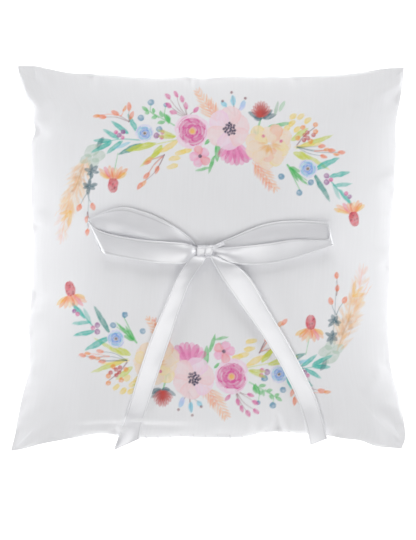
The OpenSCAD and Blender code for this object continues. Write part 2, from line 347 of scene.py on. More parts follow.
FRONT_PUCKERS = [
    ([(-97, 92), (-88, 80), (-80, 66)], 1.6, 3.0),
    ([(-93, 97), (-84, 88), (-72, 80)], -1.3, 3.2),
    ([(-88.5, 65), (-79, 61)], -1.2, 3.0),
    ([(-89.5, 72), (-80, 70)], 0.9, 3.0),
    ([(-90, 46), (-80, 44)], 0.5, 4.0),
    ([(-89.5, 24), (-79, 22)], 0.9, 2.6),
    ([(-89.5, 16), (-80, 15)], -0.9, 2.6),
    ([(-90, 2), (-82, 1)], 0.4, 3.0),
    ([(-90, -19), (-78, -18)], -0.8, 3.0),
    ([(-91, -29), (-80, -29)], 0.9, 3.0),
    ([(-91.5, -38), (-81, -36)], -0.7, 3.0),
    ([(-92, -56), (-82, -52)], 0.6, 3.5),
    ([(-96, -76), (-86, -68)], -0.8, 3.5),
    ([(-60, 94), (-58, 84)], -1.1, 2.4),
    ([(-54, 94), (-53, 85)], 0.8, 2.6),
    ([(-38, 93), (-37, 86)], 0.5, 3.0),
    ([(-10, 93), (-9, 84)], -0.9, 2.4),
    ([(-5, 93), (-5, 82)], 1.1, 2.4),
    ([(20, 93), (20, 86)], 0.4, 3.0),
    ([(44, 93), (43, 85)], -0.5, 3.0),
    ([(62, 94), (60, 85)], 0.6, 3.0),
    ([(98, 90), (88, 84), (79, 80)], 1.5, 2.6),
    ([(97, 82), (88, 78)], -1.1, 2.6),
    ([(92, 97), (86, 88), (80, 82)], -0.9, 3.0),
    ([(96, 44), (86, 40), (80, 38)], 1.1, 2.6),
    ([(95, 34), (85, 34)], -0.8, 2.8),
    ([(94, 6), (84, 4)], 0.8, 2.6),
    ([(93, -4), (84, -4)], -0.9, 2.4),
    ([(92, -30), (83, -29)], 0.5, 3.0),
    ([(93, -56), (84, -52)], -0.6, 3.0),
    ([(98, -78), (89, -74), (81, -71)], 1.3, 2.8),
    ([(99, -88), (90, -81), (80, -77)], -1.4, 2.8),
    ([(88, -95), (84, -86), (78, -80)], 1.0, 2.8),
    ([(36, -88), (35, -82), (31, -74)], -1.7, 2.2),
    ([(42, -88), (40, -80)], 0.9, 2.4),
    ([(27, -89), (26, -82)], 0.7, 2.4),
    ([(-48, -90), (-47, -82)], -1.3, 2.2),
    ([(-55, -90), (-54, -82)], 0.8, 2.6),
    ([(-20, -91), (-20, -84)], 0.4, 3.0),
    ([(6, -91), (6, -85)], -0.5, 3.0),
    ([(66, -91), (64, -83)], -0.7, 2.8),
    ([(-94, -95), (-84, -85), (-72, -77)], 1.2, 3.4),
    ([(-82, -94), (-76, -84)], -0.8, 3.0),
]
FRONT_FOLDS = [
    ([(-76, -85.5), (-48, -84.5), (-2, -85.5)], -0.6, 1.5),
    ([(-76, -82), (-48, -81.5), (-2, -82)], 0.45, 2.0),
    ([(-86, 78), (-74, 74), (-62, 76)], 0.5, 3.5),
    ([(70, 78), (84, 82), (93, 90)], 0.5, 3.0),
    ([(78, -70), (86, -62), (88, -50)], 0.5, 3.0),
    ([(-84, -40), (-85, 0), (-84, 40)], 0.25, 3.5),
    ([(86, -30), (87, 10), (87, 50)], 0.25, 3.5),
]


def line_distance(x, y, points):
    """How far each place is from a line through the points, and its share of the way along."""
    points = np.array(points, float)
    best = np.full(x.shape, np.inf)
    share = np.zeros(x.shape)
    lengths = np.linalg.norm(np.diff(points, axis=0), axis=1)
    total, done = lengths.sum(), 0.0
    for a, b, length in zip(points[:-1], points[1:], lengths):
        run = b - a
        t = np.clip(((x - a[0]) * run[0] + (y - a[1]) * run[1]) / length**2, 0, 1)
        away = np.hypot(x - a[0] - t * run[0], y - a[1] - t * run[1])
        closer = away < best
        best = np.where(closer, away, best)
        share = np.where(closer, (done + t * length) / total, share)
        done += length
    return best, share


def folded(x, y, puckers, folds):
    """The height that the puckers and folds add, in millimetres."""
    height = np.zeros_like(x)
    for points, tall, wide in puckers:
        away, share = line_distance(x, y, points)
        height += tall * np.exp(-((away / wide) ** 2)) * (1 - ramp(share, 0.15, 1.0))
    for points, tall, wide in folds:
        away, share = line_distance(x, y, points)
        height += tall * np.exp(-((away / wide) ** 2)) * ramp(share, 0, 0.3) * (1 - ramp(share, 0.7, 1))
    return height


def grid_normals(points):
    """Unit normals of a grid of points."""
    normal = np.cross(np.gradient(points, axis=0), np.gradient(points, axis=1))
    return normal / np.maximum(np.linalg.norm(normal, axis=-1, keepdims=True), 1e-12)


def dimple(x, y, depth, radius):
    away = np.hypot(x - KNOT_X, y - KNOT_Y)
    return depth * np.exp(-((away / radius) ** 2))


def finished_cover(side, cells, moved):
    """The grid of points of one finished cover panel, with its wrinkles."""
    u, v = even_grid(cells)
    points = stuffed(u, v, side) + spread(moved, u, v)
    edge = np.minimum(1 - np.abs(u), 1 - np.abs(v)) * HALF_SIDE
    keep = ramp(edge, 0, 2.0)
    x, y = points[..., 0], points[..., 1]
    along = np.where(np.abs(u) > np.abs(v), y, x)
    gathers, lumps, creases = Noise(3), Noise(5), Noise(8)
    turn = np.where(np.abs(u) > np.abs(v), np.sign(u) * 17.3, np.sign(v) * 41.9) + side * 7
    rise = 0.55 * gathers(along / 6.5 + turn, turn) * np.exp(-edge / 8)
    rise += 0.30 * gathers(along / 3.1 + turn, turn + 5) * np.exp(-edge / 4)
    rise += 0.35 * lumps(x / 21 + side, y / 24) + 0.12 * creases(x / 9, y / 8 + side)
    if side > 0:
        rise += folded(x, y, FRONT_PUCKERS, FRONT_FOLDS)
    else:
        rise += 0.6 * folded(x, -y, FRONT_PUCKERS, [])
    outward = grid_normals(points) * side
    outward *= np.sign((outward[..., 2] * side).mean())
    points = points + outward * (rise * keep)[..., None]
    x, y = points[..., 0], points[..., 1]
    level = np.maximum((1 - u * u) * (1 - v * v), 0)
    depth, radius = FRONT_DIMPLE if side > 0 else BACK_DIMPLE
    pull = dimple(x, y, depth, radius) * ramp(level, 0, 0.3)
    angle = np.arctan2(y - KNOT_Y, x - KNOT_X)
    near = np.exp(-((np.hypot(x - KNOT_X, y - KNOT_Y) / (radius * 1.1)) ** 2))
    pull += 0.25 * np.sin(7 * angle + side) * near * (1 - near)
    points[..., 2] -= side * pull
    if side < 0:
        points[..., 2] = rested(points[..., 2])
    return points


def rested(z):
    """Heights below the floor, or just above it, flatten softly onto it."""
    soft = 1.2
    return soft * np.log1p(np.exp(np.clip(z / soft, -30, 30)))


def seam_allowance(rim, side):
    """Rings of points that turn the panel's edge in at the seam."""
    rings = []
    for inward, lift in ((0.35, 0.05), (0.8, 0.12), (3.0, 0.3), (7.0, 0.5)):
        ring = rim * [1 - inward / CORNER, 1 - inward / CORNER, 1]
        ring[:, 2] = SEAM_Z + side * (SEAM_GAP + lift)
        rings.append(ring)
    return rings


def rim_order(cells):
    """Index pairs of a square grid's border, in order around it."""
    line = list(range(cells))
    return (
        [(k, 0) for k in line] + [(cells, k) for k in line]
        + [(cells - k, cells) for k in line] + [(0, cells - k) for k in line]
    )


def cover_piece(name, side, cells, moved, node, material):
    """One cover panel: its grid, and the allowance that is turned in along the seam."""
    grid = finished_cover(side, cells, moved)
    u, v = even_grid(cells)
    count = cells + 1
    points = [grid.reshape(-1, 3)]
    uv = [np.stack([u, v], -1).reshape(-1, 2) * FLAT_SIDE / 2 * MM]
    faces = grid_faces(count, count, flip=side < 0)
    border = rim_order(cells)
    last = [i * count + j for i, j in border]
    rim = np.array([grid[i, j] for i, j in border])
    rim_uv = np.array([[u[i, j], v[i, j]] for i, j in border]) * FLAT_SIDE / 2 * MM
    total = count * count
    for depth, ring in enumerate(seam_allowance(rim, side), start=1):
        points.append(ring)
        uv.append(rim_uv * (1 + 0.01 * depth))
        new = list(range(total, total + len(border)))
        for k in range(len(border)):
            n = (k + 1) % len(border)
            quad = [last[k], new[k], new[n], last[n]]
            faces.append(quad[::-1] if side < 0 else quad)
        total += len(border)
        last = new
    obj = build(name, np.concatenate(points), faces, material, np.concatenate(uv))
    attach(obj, "cushion")
    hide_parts(node)
    return obj, grid


def filling_piece(moved, material):
    """The fibre filling, a little smaller than the inside of the cover."""
    cells, share, gap = 48, 0.93, 1.6
    u, v = even_grid(cells)
    lumps = Noise(21)
    sides = []
    for side in (1, -1):
        shift = spread(moved[0 if side > 0 else 1], u * share, v * share)
        points = stuffed(u * share, v * share, side) + shift
        depth, radius = FRONT_DIMPLE if side > 0 else BACK_DIMPLE
        points[..., 2] -= side * dimple(points[..., 0], points[..., 1], depth + 1.0, radius)
        if side < 0:
            points[..., 2] = rested(points[..., 2])
        level = np.maximum((1 - u * u) * (1 - v * v), 0)
        sink = gap + 0.5 * (1 + lumps(points[..., 0] / 7, points[..., 1] / 7)) * ramp(level, 0, 0.2)
        points[..., 2] -= side * sink
        sides.append(points)
    rim = on_rim(u, v)
    sides[0][rim] = (sides[0][rim] + sides[1][rim]) / 2
    index, used, faces = sewn_pair(cells, rim, 1)
    points = np.concatenate([points.reshape(-1, 3) for points in sides])[used]
    obj = build("fibre_filling", points, faces, material)
    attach(obj, "cushion")
    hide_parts("filling")


# ---- the printed wreath ----
# An arc of flowers and leaves over the top of the print, and the same arc turned half round below it.
# Places are in millimetres from the wreath's centre, as they show on the stuffed cushion.

WREATH_CENTRE = (1.8, 2.4)

INK = {
    "magenta": (214, 92, 160), "pink": (236, 150, 196), "light_pink": (242, 200, 226),
    "blush": (240, 196, 198), "cream": (251, 224, 184), "tan": (228, 182, 120), "brown": (196, 146, 96),
    "peach": (250, 190, 140), "coral": (238, 136, 88), "orange": (246, 160, 70), "red": (205, 76, 88),
    "brick": (196, 78, 72), "teal": (30, 184, 172), "dark_teal": (10, 150, 140), "sage": (162, 190, 168),
    "slate_teal": (72, 112, 124), "green": (78, 186, 98), "lime": (200, 208, 70), "yellow": (246, 222, 128),
    "gold": (236, 190, 70), "slate_blue": (92, 150, 180), "blue": (106, 158, 220), "navy": (44, 48, 84),
    "lavender": (196, 206, 240), "purple": (160, 94, 156), "maroon": (138, 70, 82), "cyan": (118, 198, 220),
    "rose": (232, 120, 140), "white": (252, 246, 250),
}
LIT_SHARE = 0.8  # the tints above are as they look in the studio light; the printed ones are clearer
INK = {name: srgb(*tint) ** 1.12 for name, tint in INK.items()}
INK = {name: tint / max(LIT_SHARE, tint.max()) for name, tint in INK.items()}


def heading(angle):
    return np.array([math.cos(angle), math.sin(angle)])


def axes(base, tip):
    """The distance from base to tip, and the unit directions along it and to its left."""
    run = np.array(tip, float) - base
    length = math.hypot(*run)
    ahead = run / length
    return length, ahead, np.array([-ahead[1], ahead[0]])


class Brush:
    """Watercolour marks laid on a set of places. colour is the cloth's colour at each place."""

    def __init__(self, places, colour, seed):
        self.places = places
        self.colour = colour
        self.random = np.random.RandomState(seed)
        self.noise = Noise(seed + 1)
        self.bleed = Noise(seed + 2)

    def near(self, centre, radius):
        away = np.abs(self.places - np.asarray(centre, float))
        return np.nonzero((away[:, 0] < radius) & (away[:, 1] < radius))[0]

    def lay(self, index, cover, tint):
        tint = INK[tint] if isinstance(tint, str) else tint
        cover = np.clip(cover, 0, 1)[:, None]
        self.colour[index] += (tint - self.colour[index]) * cover

    def pigment(self, index, seed=0.0):
        """Uneven pigment, from about 0.7 to 1."""
        x, y = self.places[index].T
        return 0.85 + 0.15 * self.noise(x / 1.7 + seed, y / 1.7) + 0.08 * self.bleed(x / 0.6, y / 0.6 + seed)

    def leaf(self, base, tip, width, tint, strength=0.95, *, belly=0.45, vein=0.1, fade=0.15, rim=0.15,
             blunt=0.8):
        """A leaf or petal. belly is where between its ends it is widest, and a low blunt rounds them."""
        base, tip = np.array(base, float), np.array(tip, float)
        run = tip - base
        length = math.hypot(*run)
        index = self.near((base + tip) / 2, length / 2 + width)
        if not len(index):
            return
        offset = self.places[index] - base
        s = offset @ run / length**2
        r = offset @ np.array([-run[1], run[0]]) / length
        r = r + 0.25 * self.noise(offset[:, 0] / 2.2 + base[0], offset[:, 1] / 2.2)
        power = math.log(0.5) / math.log(belly)
        half = width / 2 * np.sin(np.pi * np.clip(s, 0, 1) ** power) ** blunt
        cover = np.clip((half - np.abs(r)) / 0.45 + 0.5 * np.clip(half / 0.5, 0, 1), 0, 1) * (half > 0.02)
        edge = np.clip((half - np.abs(r)) / np.maximum(half, 0.2), 0, 1)
        wash = self.pigment(index, base[1]) - fade * s + rim * np.exp(-((edge / 0.22) ** 2))
        wash = wash - vein * np.exp(-((r / 0.3) ** 2)) * (width > 2)
        self.lay(index, strength * cover * wash, tint)

    def petal(self, base, tip, width, tint, strength=0.6, heart="rose", belly=0.66, rim=0.5, lines=3):
        """A broad petal that hides what is under it, darker at its heart end and along its rim."""
        base, tip = np.array(base, float), np.array(tip, float)
        look = {"belly": belly, "blunt": 0.5, "vein": 0}
        self.leaf(base, tip, width * 1.02, "white", strength=0.85, fade=0, rim=0, **look)
        self.leaf(base, tip, width, tint, strength=strength, fade=0.1, rim=rim, **look)
        run = tip - base
        side = np.array([-run[1], run[0]])
        for lean in np.linspace(-0.3, 0.3, lines):
            self.leaf(base + 0.05 * run, base + 0.62 * run + lean * side, 0.8, heart, strength=0.3, vein=0)

    def spot(self, at, radius, tint, strength=0.85, shine=0.3, ragged=0.12):
        """A berry or a round dab."""
        index = self.near(at, radius * 1.5 + 0.5)
        if not len(index):
            return
        offset = self.places[index] - np.array(at, float)
        away = np.hypot(*offset.T)
        angle = np.arctan2(offset[:, 1], offset[:, 0])
        outer = radius * (1 + ragged * self.noise(angle * 1.3 + at[0], at[1]))
        cover = np.clip((outer - away) / 0.4 + 0.5, 0, 1)
        shine_away = np.hypot(offset[:, 0] + 0.3 * radius, offset[:, 1] - 0.3 * radius)
        light = np.exp(-(shine_away / (0.45 * radius)) ** 2)
        wash = self.pigment(index) + 0.15 * (away / radius) ** 2 - shine * light
        self.lay(index, strength * cover * wash, tint)

    def stem(self, points, width, tint, strength=0.75):
        """A thin line through the points, bent smoothly."""
        points = np.array(points, float)
        if len(points) > 2:
            at = np.linspace(0, len(points) - 1, 4 * len(points))
            points = smooth_through(np.arange(len(points)), points, at)
        middle = (points.min(0) + points.max(0)) / 2
        index = self.near(middle, np.ptp(points, axis=0).max() / 2 + 1.5)
        if not len(index):
            return
        away, share = line_distance(*self.places[index].T, points)
        cover = np.clip((width * (1 - 0.4 * share) / 2 - away) / 0.4 + 0.5, 0, 1)
        self.lay(index, strength * cover * self.pigment(index), tint)

    def leaves(self, base, tips, width, tint, **look):
        for tip in tips:
            self.leaf(base, tip, width, tint, **look)

    def sprig(self, points, length, width, tint, pairs=4, lean=0.65, stem_tint=None, tip_leaf=True, **look):
        """A bent stem with leaves on alternate sides, smaller towards its end."""
        points = np.array(points, float)
        self.stem(points, 0.7, stem_tint or tint, 0.7)
        knots = np.arange(len(points))
        for k in range(2 * pairs):
            at = (k + 1.0) / (2 * pairs + 1) * knots[-1]
            start, ahead_at = smooth_through(knots, points, [at, min(at + 0.05, knots[-1])])
            ahead = ahead_at - start
            ahead = ahead / max(math.hypot(*ahead), 1e-6)
            hand = 1 if k % 2 else -1
            turn = hand * (lean + self.random.uniform(-0.15, 0.15))
            out = ahead * math.cos(turn) + np.array([-ahead[1], ahead[0]]) * math.sin(turn)
            far = length * (1 - 0.4 * at / knots[-1]) * self.random.uniform(0.85, 1.1)
            self.leaf(start + out * 0.6, start + out * far, width, tint, **look)
        if tip_leaf:
            ahead = (points[-1] - points[-2]) / math.hypot(*(points[-1] - points[-2]))
            self.leaf(points[-1] - ahead, points[-1] + ahead * length * 0.6, width, tint, **look)

    def arc(self, at, radius, start, sweep, width, tint, strength=0.6):
        """Part of a ring."""
        turn = start + np.linspace(0, sweep, 7)
        points = np.stack([at[0] + radius * np.cos(turn), at[1] + radius * np.sin(turn)], 1)
        self.stem(points, width, tint, strength)

    def cluster(self, at, radius, count, tint, width=1.5, **look):
        """Short leaves that spread from one place."""
        turn = self.random.uniform(0, 6.28)
        for k in range(count):
            angle = turn + 2 * math.pi * k / count + self.random.uniform(-0.3, 0.3)
            self.leaf(at, at + radius * self.random.uniform(0.75, 1.1) * heading(angle), width, tint, **look)

    def buds(self, base, places, tint, size=2.2, stem_tint="maroon", width=1.5):
        """Thin stems from one base, each with a bud or small leaf at its end."""
        for place in places:
            length, ahead, side = axes(base, place)
            bend = side * length * self.random.uniform(-0.1, 0.1)
            self.stem([base, (np.array(base) + place) / 2 + bend, place], 0.5, stem_tint, 0.6)
            start = np.array(place) - ahead * size * 0.4
            self.leaf(start, np.array(place) + ahead * size * 0.8, width, tint, strength=0.9)

    def berries(self, places, radius, tint, base=None, stem_tint="green"):
        for place in places:
            if base is not None:
                self.stem([base, place], 0.45, stem_tint, 0.6)
            self.spot(place, radius, tint)

    def plume(self, base, tip, width, tints, strokes=60, strength=0.4):
        """Soft grass: short strokes that lean out from a middle line."""
        base, tip = np.array(base, float), np.array(tip, float)
        run = tip - base
        length, ahead, side = axes(base, tip)
        for k in range(strokes):
            share = self.random.uniform(0, 1) ** 0.9
            lean = self.random.uniform(-1, 1)
            room = width / 2 * math.sin(math.pi * (0.12 + 0.8 * share)) ** 0.6
            start = base + run * share * 0.85 + side * lean * room * 0.35
            end = start + ahead * length * self.random.uniform(0.12, 0.22) + side * lean * room * 0.8
            tint = tints[self.random.randint(len(tints))]
            self.leaf(start, end, self.random.uniform(0.7, 1.5), tint, strength=strength, vein=0)
        self.stem([base, base + run * 0.5, tip], 0.6, tints[0], 0.4)

    def fern(self, base, tip, spread_out, tint, pairs=9, strength=0.7):
        """A feathery leaf: a stem with thin strokes on both sides."""
        base, tip = np.array(base, float), np.array(tip, float)
        run = tip - base
        length, ahead, side = axes(base, tip)
        self.stem([base, tip], 0.5, tint, strength)
        for k in range(pairs):
            share = (k + 0.6) / pairs
            out = spread_out * (1 - 0.6 * share) * self.random.uniform(0.8, 1.1)
            for hand in (-1, 1):
                start = base + run * share * 0.9
                far = start + ahead * out * 1.15 + side * hand * out * 0.75
                self.leaf(start, far, 1.05, tint, strength=strength * self.random.uniform(0.7, 1.1), vein=0)

    def rose(self, at, radius, tints, heart, turn=0.0, line="white", strength=0.62):
        """A full round flower: rings of petals, pale outside and strong inside, with fine curved edges."""
        at = np.array(at, float)
        rings = ((1.0, 8, 0.7), (0.8, 7, 1.1), (0.6, 6, 1.3), (0.4, 5, 1.5))
        for ring, (share, count, depth) in enumerate(rings):
            tint = tints[min(ring, len(tints) - 1)]
            for k in range(count):
                angle = turn + ring * 0.5 + 2 * math.pi * k / count
                far = radius * share * self.random.uniform(0.88, 1.05)
                tip = at + far * heading(angle)
                self.petal(at, tip, 1.1 * far, tint, strength * depth, tints[-1], lines=2 if ring else 0)
        for k in range(11):
            share = 0.24 + 0.68 * k / 10
            start = turn + k * 2.4
            self.arc(at, radius * share, start, self.random.uniform(0.9, 1.7), 0.5, line, 0.6)
            sweep = self.random.uniform(0.7, 1.3)
            self.arc(at, radius * (share - 0.05), start + 2.9, sweep, 0.45, tints[-1], 0.6)
        self.spot(at, radius * 0.2, "cream", 0.8, shine=0)
        self.spot(at, radius * 0.12, heart, 0.85, shine=0.2)

    def open_flower(self, at, radius, count, tints, heart, heart_size, turn=0.0, dots=0, wide=1.0, lines=3,
                    strength=0.62):
        """Broad separate petals around a small dark heart, which is solid or made of dots."""
        at = np.array(at, float)
        for k in range(count):
            angle = turn + 2 * math.pi * k / count + self.random.uniform(-0.12, 0.12)
            far = radius * self.random.uniform(0.86, 1.06)
            tint = tints[k % len(tints)]
            self.petal(at, at + far * heading(angle), radius * wide, tint, strength, tints[-1], lines=lines)
        if not dots:
            self.spot(at, heart_size, heart, 0.9, shine=0.1)
        for k in range(dots):
            angle = 2.4 * k
            away = heart_size * math.sqrt((k + 0.5) / dots)
            self.spot(at + away * heading(angle), 0.62, heart, 1.0, shine=0)

    def peony(self, at, radius, tints, line):
        """A loose many-petalled flower with fine strokes fanning from its heart."""
        at = np.array(at, float)
        for ring, (share, count) in enumerate(((1.0, 11), (0.85, 9), (0.68, 8), (0.5, 6))):
            for k in range(count):
                angle = ring * 0.4 + 2 * math.pi * k / count
                far = radius * share * self.random.uniform(0.8, 1.08)
                ahead = heading(angle)
                tint = tints[(k + ring) % len(tints)]
                self.petal(at + ahead * far * 0.2, at + ahead * far, 0.6 * far, tint, 0.6, line, lines=1)
        for k in range(30):
            angle = -1.7 + self.random.uniform(-1.5, 1.5)
            near, far = radius * self.random.uniform(0.02, 0.2), radius * self.random.uniform(0.35, 0.62)
            heart = at + np.array([0, radius * 0.12])
            near, far = heart + near * heading(angle), heart + far * heading(angle)
            self.leaf(near, far, 0.9, line, strength=0.5, vein=0, rim=0)

    def coneflower(self, cone, petals, down, petal_length, stem=None):
        """A hanging daisy: a red cone, which points down, below a fan of long petals that lift from it."""
        petals, down = np.array(petals, float), np.array(down, float)
        down = down / math.hypot(*down)
        side = np.array([-down[1], down[0]])
        if stem is not None:
            self.stem([petals, stem], 0.6, "green", 0.6)
        tints = ("gold", "peach", "rose", "peach", "coral", "cream", "peach", "orange", "gold")
        for k, lean in enumerate(np.linspace(-1, 1, 9)):
            ahead = side * lean * 1.1 - down * (0.95 - 0.55 * abs(lean))
            ahead = ahead / math.hypot(*ahead)
            far = petal_length * (0.66 + 0.4 * abs(lean)) * self.random.uniform(0.8, 1.15)
            start = petals + down * 1.2 + side * lean * 1.2
            self.leaf(start, petals + ahead * far, 2.1, tints[k], strength=0.8, belly=0.62)
            self.leaf(start, petals + ahead * far * 0.6 + side * 0.4, 0.9, "coral", strength=0.6)
        cone = np.array(cone, float)
        self.leaf(petals + down * 0.2, cone + down * 4.0, 5.2, "red", vein=0, blunt=0.4)
        for k in range(16):
            spot = cone + side * self.random.uniform(-1.8, 1.8) + down * self.random.uniform(-3.0, 2.6)
            self.spot(spot, 0.42, "maroon" if k % 3 == 0 else "rose", 0.5, shine=0)


def draw_arc(art):
    """The upper arc of the wreath, from its left end over the top to its right end."""
    # left end: dry grass, slate leaves, little orange buds and eucalyptus
    art.plume((-72, 30), (-77, 5), 10, ("peach", "blush", "tan"), strokes=90, strength=0.17)
    art.plume((-63.5, 49), (-73.5, 20), 15, ("tan", "cream", "tan"), strokes=150, strength=0.25)
    art.plume((-65, 45), (-70.5, 30), 8, ("brown", "tan"), strokes=60, strength=0.22)
    art.plume((-73, 29), (-76.5, 22), 6, ("cream", "cream"), strokes=30, strength=0.3)
    art.leaves((-71, 22), [(-78, 20), (-77, 16), (-73, 13)], 1.8, "gold", strength=0.6)
    for k in range(34):
        at = np.array([-64, 47]) + k / 33 * np.array([-11.5, -30]) + art.random.uniform(-3.5, 3.5, 2)
        tip = at + art.random.uniform(0.6, 1) * np.array([-3.4, -5.4])
        art.leaf(at, tip, 0.45, "peach", strength=0.7, vein=0)
    art.stem([(-61, 44), (-62, 33), (-63, 14)], 0.5, "slate_teal", 0.5)
    art.buds((-63, 31), [(-67, 24), (-60.5, 24.5)], "coral", size=3.6, width=2.6, stem_tint="slate_teal")
    art.buds((-63, 21), [(-63.3, 18), (-63, 11.5)], "coral", size=3.2, width=2.2)
    for x, y, far in ((-61, 52, 3.6), (-57.5, 49, 3.2), (-64, 48, 2.8), (-56, 55, 3.0), (-60, 46, 2.6)):
        art.leaf((x + far, y + far * 0.7), (x - far, y - far * 0.6), far * 1.6, "sage", 0.5, blunt=0.5)
    for at in ((-61, 42), (-62, 34)):
        art.cluster(at, 4.2, 6, "slate_teal", width=1.9, strength=0.85)
    art.coneflower((-50, 34.8), (-50, 38.5), (0, -1), 8.5, stem=(-47.5, 51))
    # teal leaves that point left from a stem
    art.stem([(-36, 57.5), (-47, 58), (-58, 55.6)], 0.6, "teal", 0.8)
    for base, tip in (
        ((-42, 60.6), (-51.5, 67.6)), ((-37.4, 61), (-43, 71.4)), ((-47, 58), (-55.5, 63.4)),
        ((-50.5, 57), (-60.5, 57.6)), ((-50.4, 56.6), (-61.5, 51)), ((-45, 57.4), (-53.6, 50.6)),
    ):
        art.leaf(base, tip, 2.3, "teal")
    for mark in (
        ((-35, 56), (-48, 50), 2.8, "dark_teal"), ((-41, 56.6), (-50, 53), 1.7, "cyan", 0.7),
        ((-55, 59.4), (-58.4, 53), 2.4, "slate_teal", 0.6),
    ):
        art.leaf(*mark)
    art.berries([(-47, 60), (-45, 61.8)], 1.2, "purple")
    art.berries([(-48.6, 61.6), (-45.2, 58.9)], 1.0, "magenta")
    art.buds((-42, 67), [(-55, 69.5), (-48.5, 71), (-42, 74), (-41, 69.5)], "coral", size=4.2, width=2.2)
    art.buds((-46, 70), [(-58, 70), (-44.5, 73.2)], "orange", size=3.4, width=1.7, stem_tint="coral")
    # slate blue berries on green stems
    art.sprig([(-19, 65), (-26, 69), (-33, 73)], 5.6, 1.8, "green", pairs=3, strength=0.85)
    art.leaf((-21, 66), (-25, 72), 2.2, "green")
    art.stem([(-22, 66), (-24, 70), (-23.5, 75)], 0.6, "green", 0.7)
    art.stem([(-27, 69), (-31, 72), (-31, 76)], 0.6, "green", 0.7)
    art.berries([(-36, 69), (-31, 76.8), (-26.6, 63)], 1.6, "slate_blue")
    art.berries([(-23.5, 75.5)], 1.1, "slate_blue")
    art.berries([(-28, 59.8)], 1.5, "purple")
    art.berries([(-25, 61.5), (-25.3, 59)], 1.1, "magenta")
    # yellow-green and pale yellow leaves under the flowers
    art.leaves((-18, 59), [(-28, 63), (-28, 59.5)], 2.0, "lime", strength=0.8)
    for mark in (
        ((-28, 56), (-44, 52), 3.4, "lime"), ((-24, 54), (-37, 43.5), 2.2, "lime", 0.85),
        ((-25, 55), (-31, 47.5), 3.0, "lime", 0.9), ((-17, 57), (-27, 51), 3.2, "yellow", 0.9),
    ):
        art.leaf(*mark)
    art.stem([(-16, 58), (-30, 55), (-42, 52)], 0.6, "lime", 0.7)
    art.buds((-24, 50), [(-32, 46.5), (-27.5, 43), (-32.5, 40), (-36, 35)], "coral", size=4.0, width=2.2,
             stem_tint="maroon")
    art.buds((-25, 49), [(-31, 48), (-34, 36)], "peach", size=3.2, width=1.8, stem_tint="coral")
    for x, y in ((-16, 51), (-19, 48), (-20, 44), (-13, 52)):
        art.leaf((x + 3, y + 0.6), (x - 3, y - 0.4), 2.6, "yellow", strength=0.9, blunt=0.5)
    art.rose((-34, 61), 4.6, ("lavender", "cyan", "blue"), "navy", turn=0.4)
    # magenta buds over the pink flower
    places = [(-22, 79.5), (-18, 80.5), (-15, 78), (-21.5, 75), (-19, 71.5), (-13, 74.5), (-8.5, 72.5)]
    art.buds((-12, 69), places, "magenta", size=3.6, width=2.0)
    art.fern((2.5, 67), (-8, 84), 7.0, "peach", pairs=8, strength=0.8)
    art.fern((5, 66), (-2, 77), 5.5, "coral", pairs=5, strength=0.5)
    for mark in (
        ((3, 57), (2.5, 46), 2.8, "green"), ((-1, 43.5), (-9, 41.8), 1.4, "green", 0.8),
        ((-3, 46), (-9, 44.5), 1.2, "sage"), ((1.5, 50), (-2, 40), 1.9, "green"),
        ((-1, 58), (-4, 55), 1.6, "green"),
    ):
        art.leaf(*mark)
    art.rose((-10, 62), 9.0, ("light_pink", "magenta"), "gold", turn=0.2, strength=0.72)
    petals = ("pink", "rose", "pink", "pink", "rose")
    art.open_flower((-6, 49.3), 5.8, 5, petals, "navy", 0.9, turn=0.6, wide=0.78, lines=2)
    # rosehips, protea, and the blush flower
    art.stem([(13, 66), (11.5, 72), (10.5, 80)], 0.7, "maroon", 0.8)
    art.buds((12.4, 69), [(6.5, 75.5), (15.5, 75.5)], "cyan", size=3.6, width=2.2)
    art.leaf((11, 75), (10.3, 81), 2.4, "cyan")
    art.leaf((14.4, 72.5), (16.6, 78), 2.6, "lavender")
    for at in ((10, 82), (5.4, 77.5), (17, 79)):
        art.spot(at, 0.7, "maroon", 0.8, shine=0)
    art.stem([(23, 60), (24, 66), (25.5, 70)], 1.1, "green", 0.8)
    art.leaves((25.5, 68.5), [(18, 72), (33, 70.5), (21, 69), (31, 73)], 2.6, "slate_teal", strength=0.85)
    for lean in np.linspace(-1.15, 1.15, 9):
        x, y = math.sin(lean), math.cos(lean)
        tip = (25 + 5.6 * x, 70 + 8 * y)
        art.leaf((25, 69.2), tip, 2.2, "brick", strength=0.75, vein=0.2, rim=0.5, blunt=0.55)
        art.leaf((25, 70), (25 + 4.6 * x, 70 + 6.8 * y), 0.7, "maroon", strength=0.6, vein=0)
    for mark in (
        ((32, 70), (33.5, 78), 1.8, "sage", 0.8), ((28, 64), (41, 66.5), 2.2, "green"),
        ((34, 72), (37, 78), 2.2, "green", 0.5), ((21, 64), (22.5, 57), 1.6, "dark_teal", 0.8),
    ):
        art.leaf(*mark)
    for k, lean in enumerate(np.linspace(-0.95, 0.75, 8)):
        tip = (12.5 + 11.5 * math.sin(lean), 56 - 11.5 * math.cos(lean))
        tint = "pink" if k % 2 else "magenta"
        art.leaf((11.5, 57.5), tip, 3.6, tint, strength=0.8, belly=0.72, rim=0.3, blunt=0.5)
    petals = ("blush", "blush", "light_pink", "blush", "light_pink", "blush")
    art.open_flower((9, 63), 11.6, 6, petals, "navy", 3.2, 0.35, dots=20, wide=0.92, lines=4, strength=0.5)
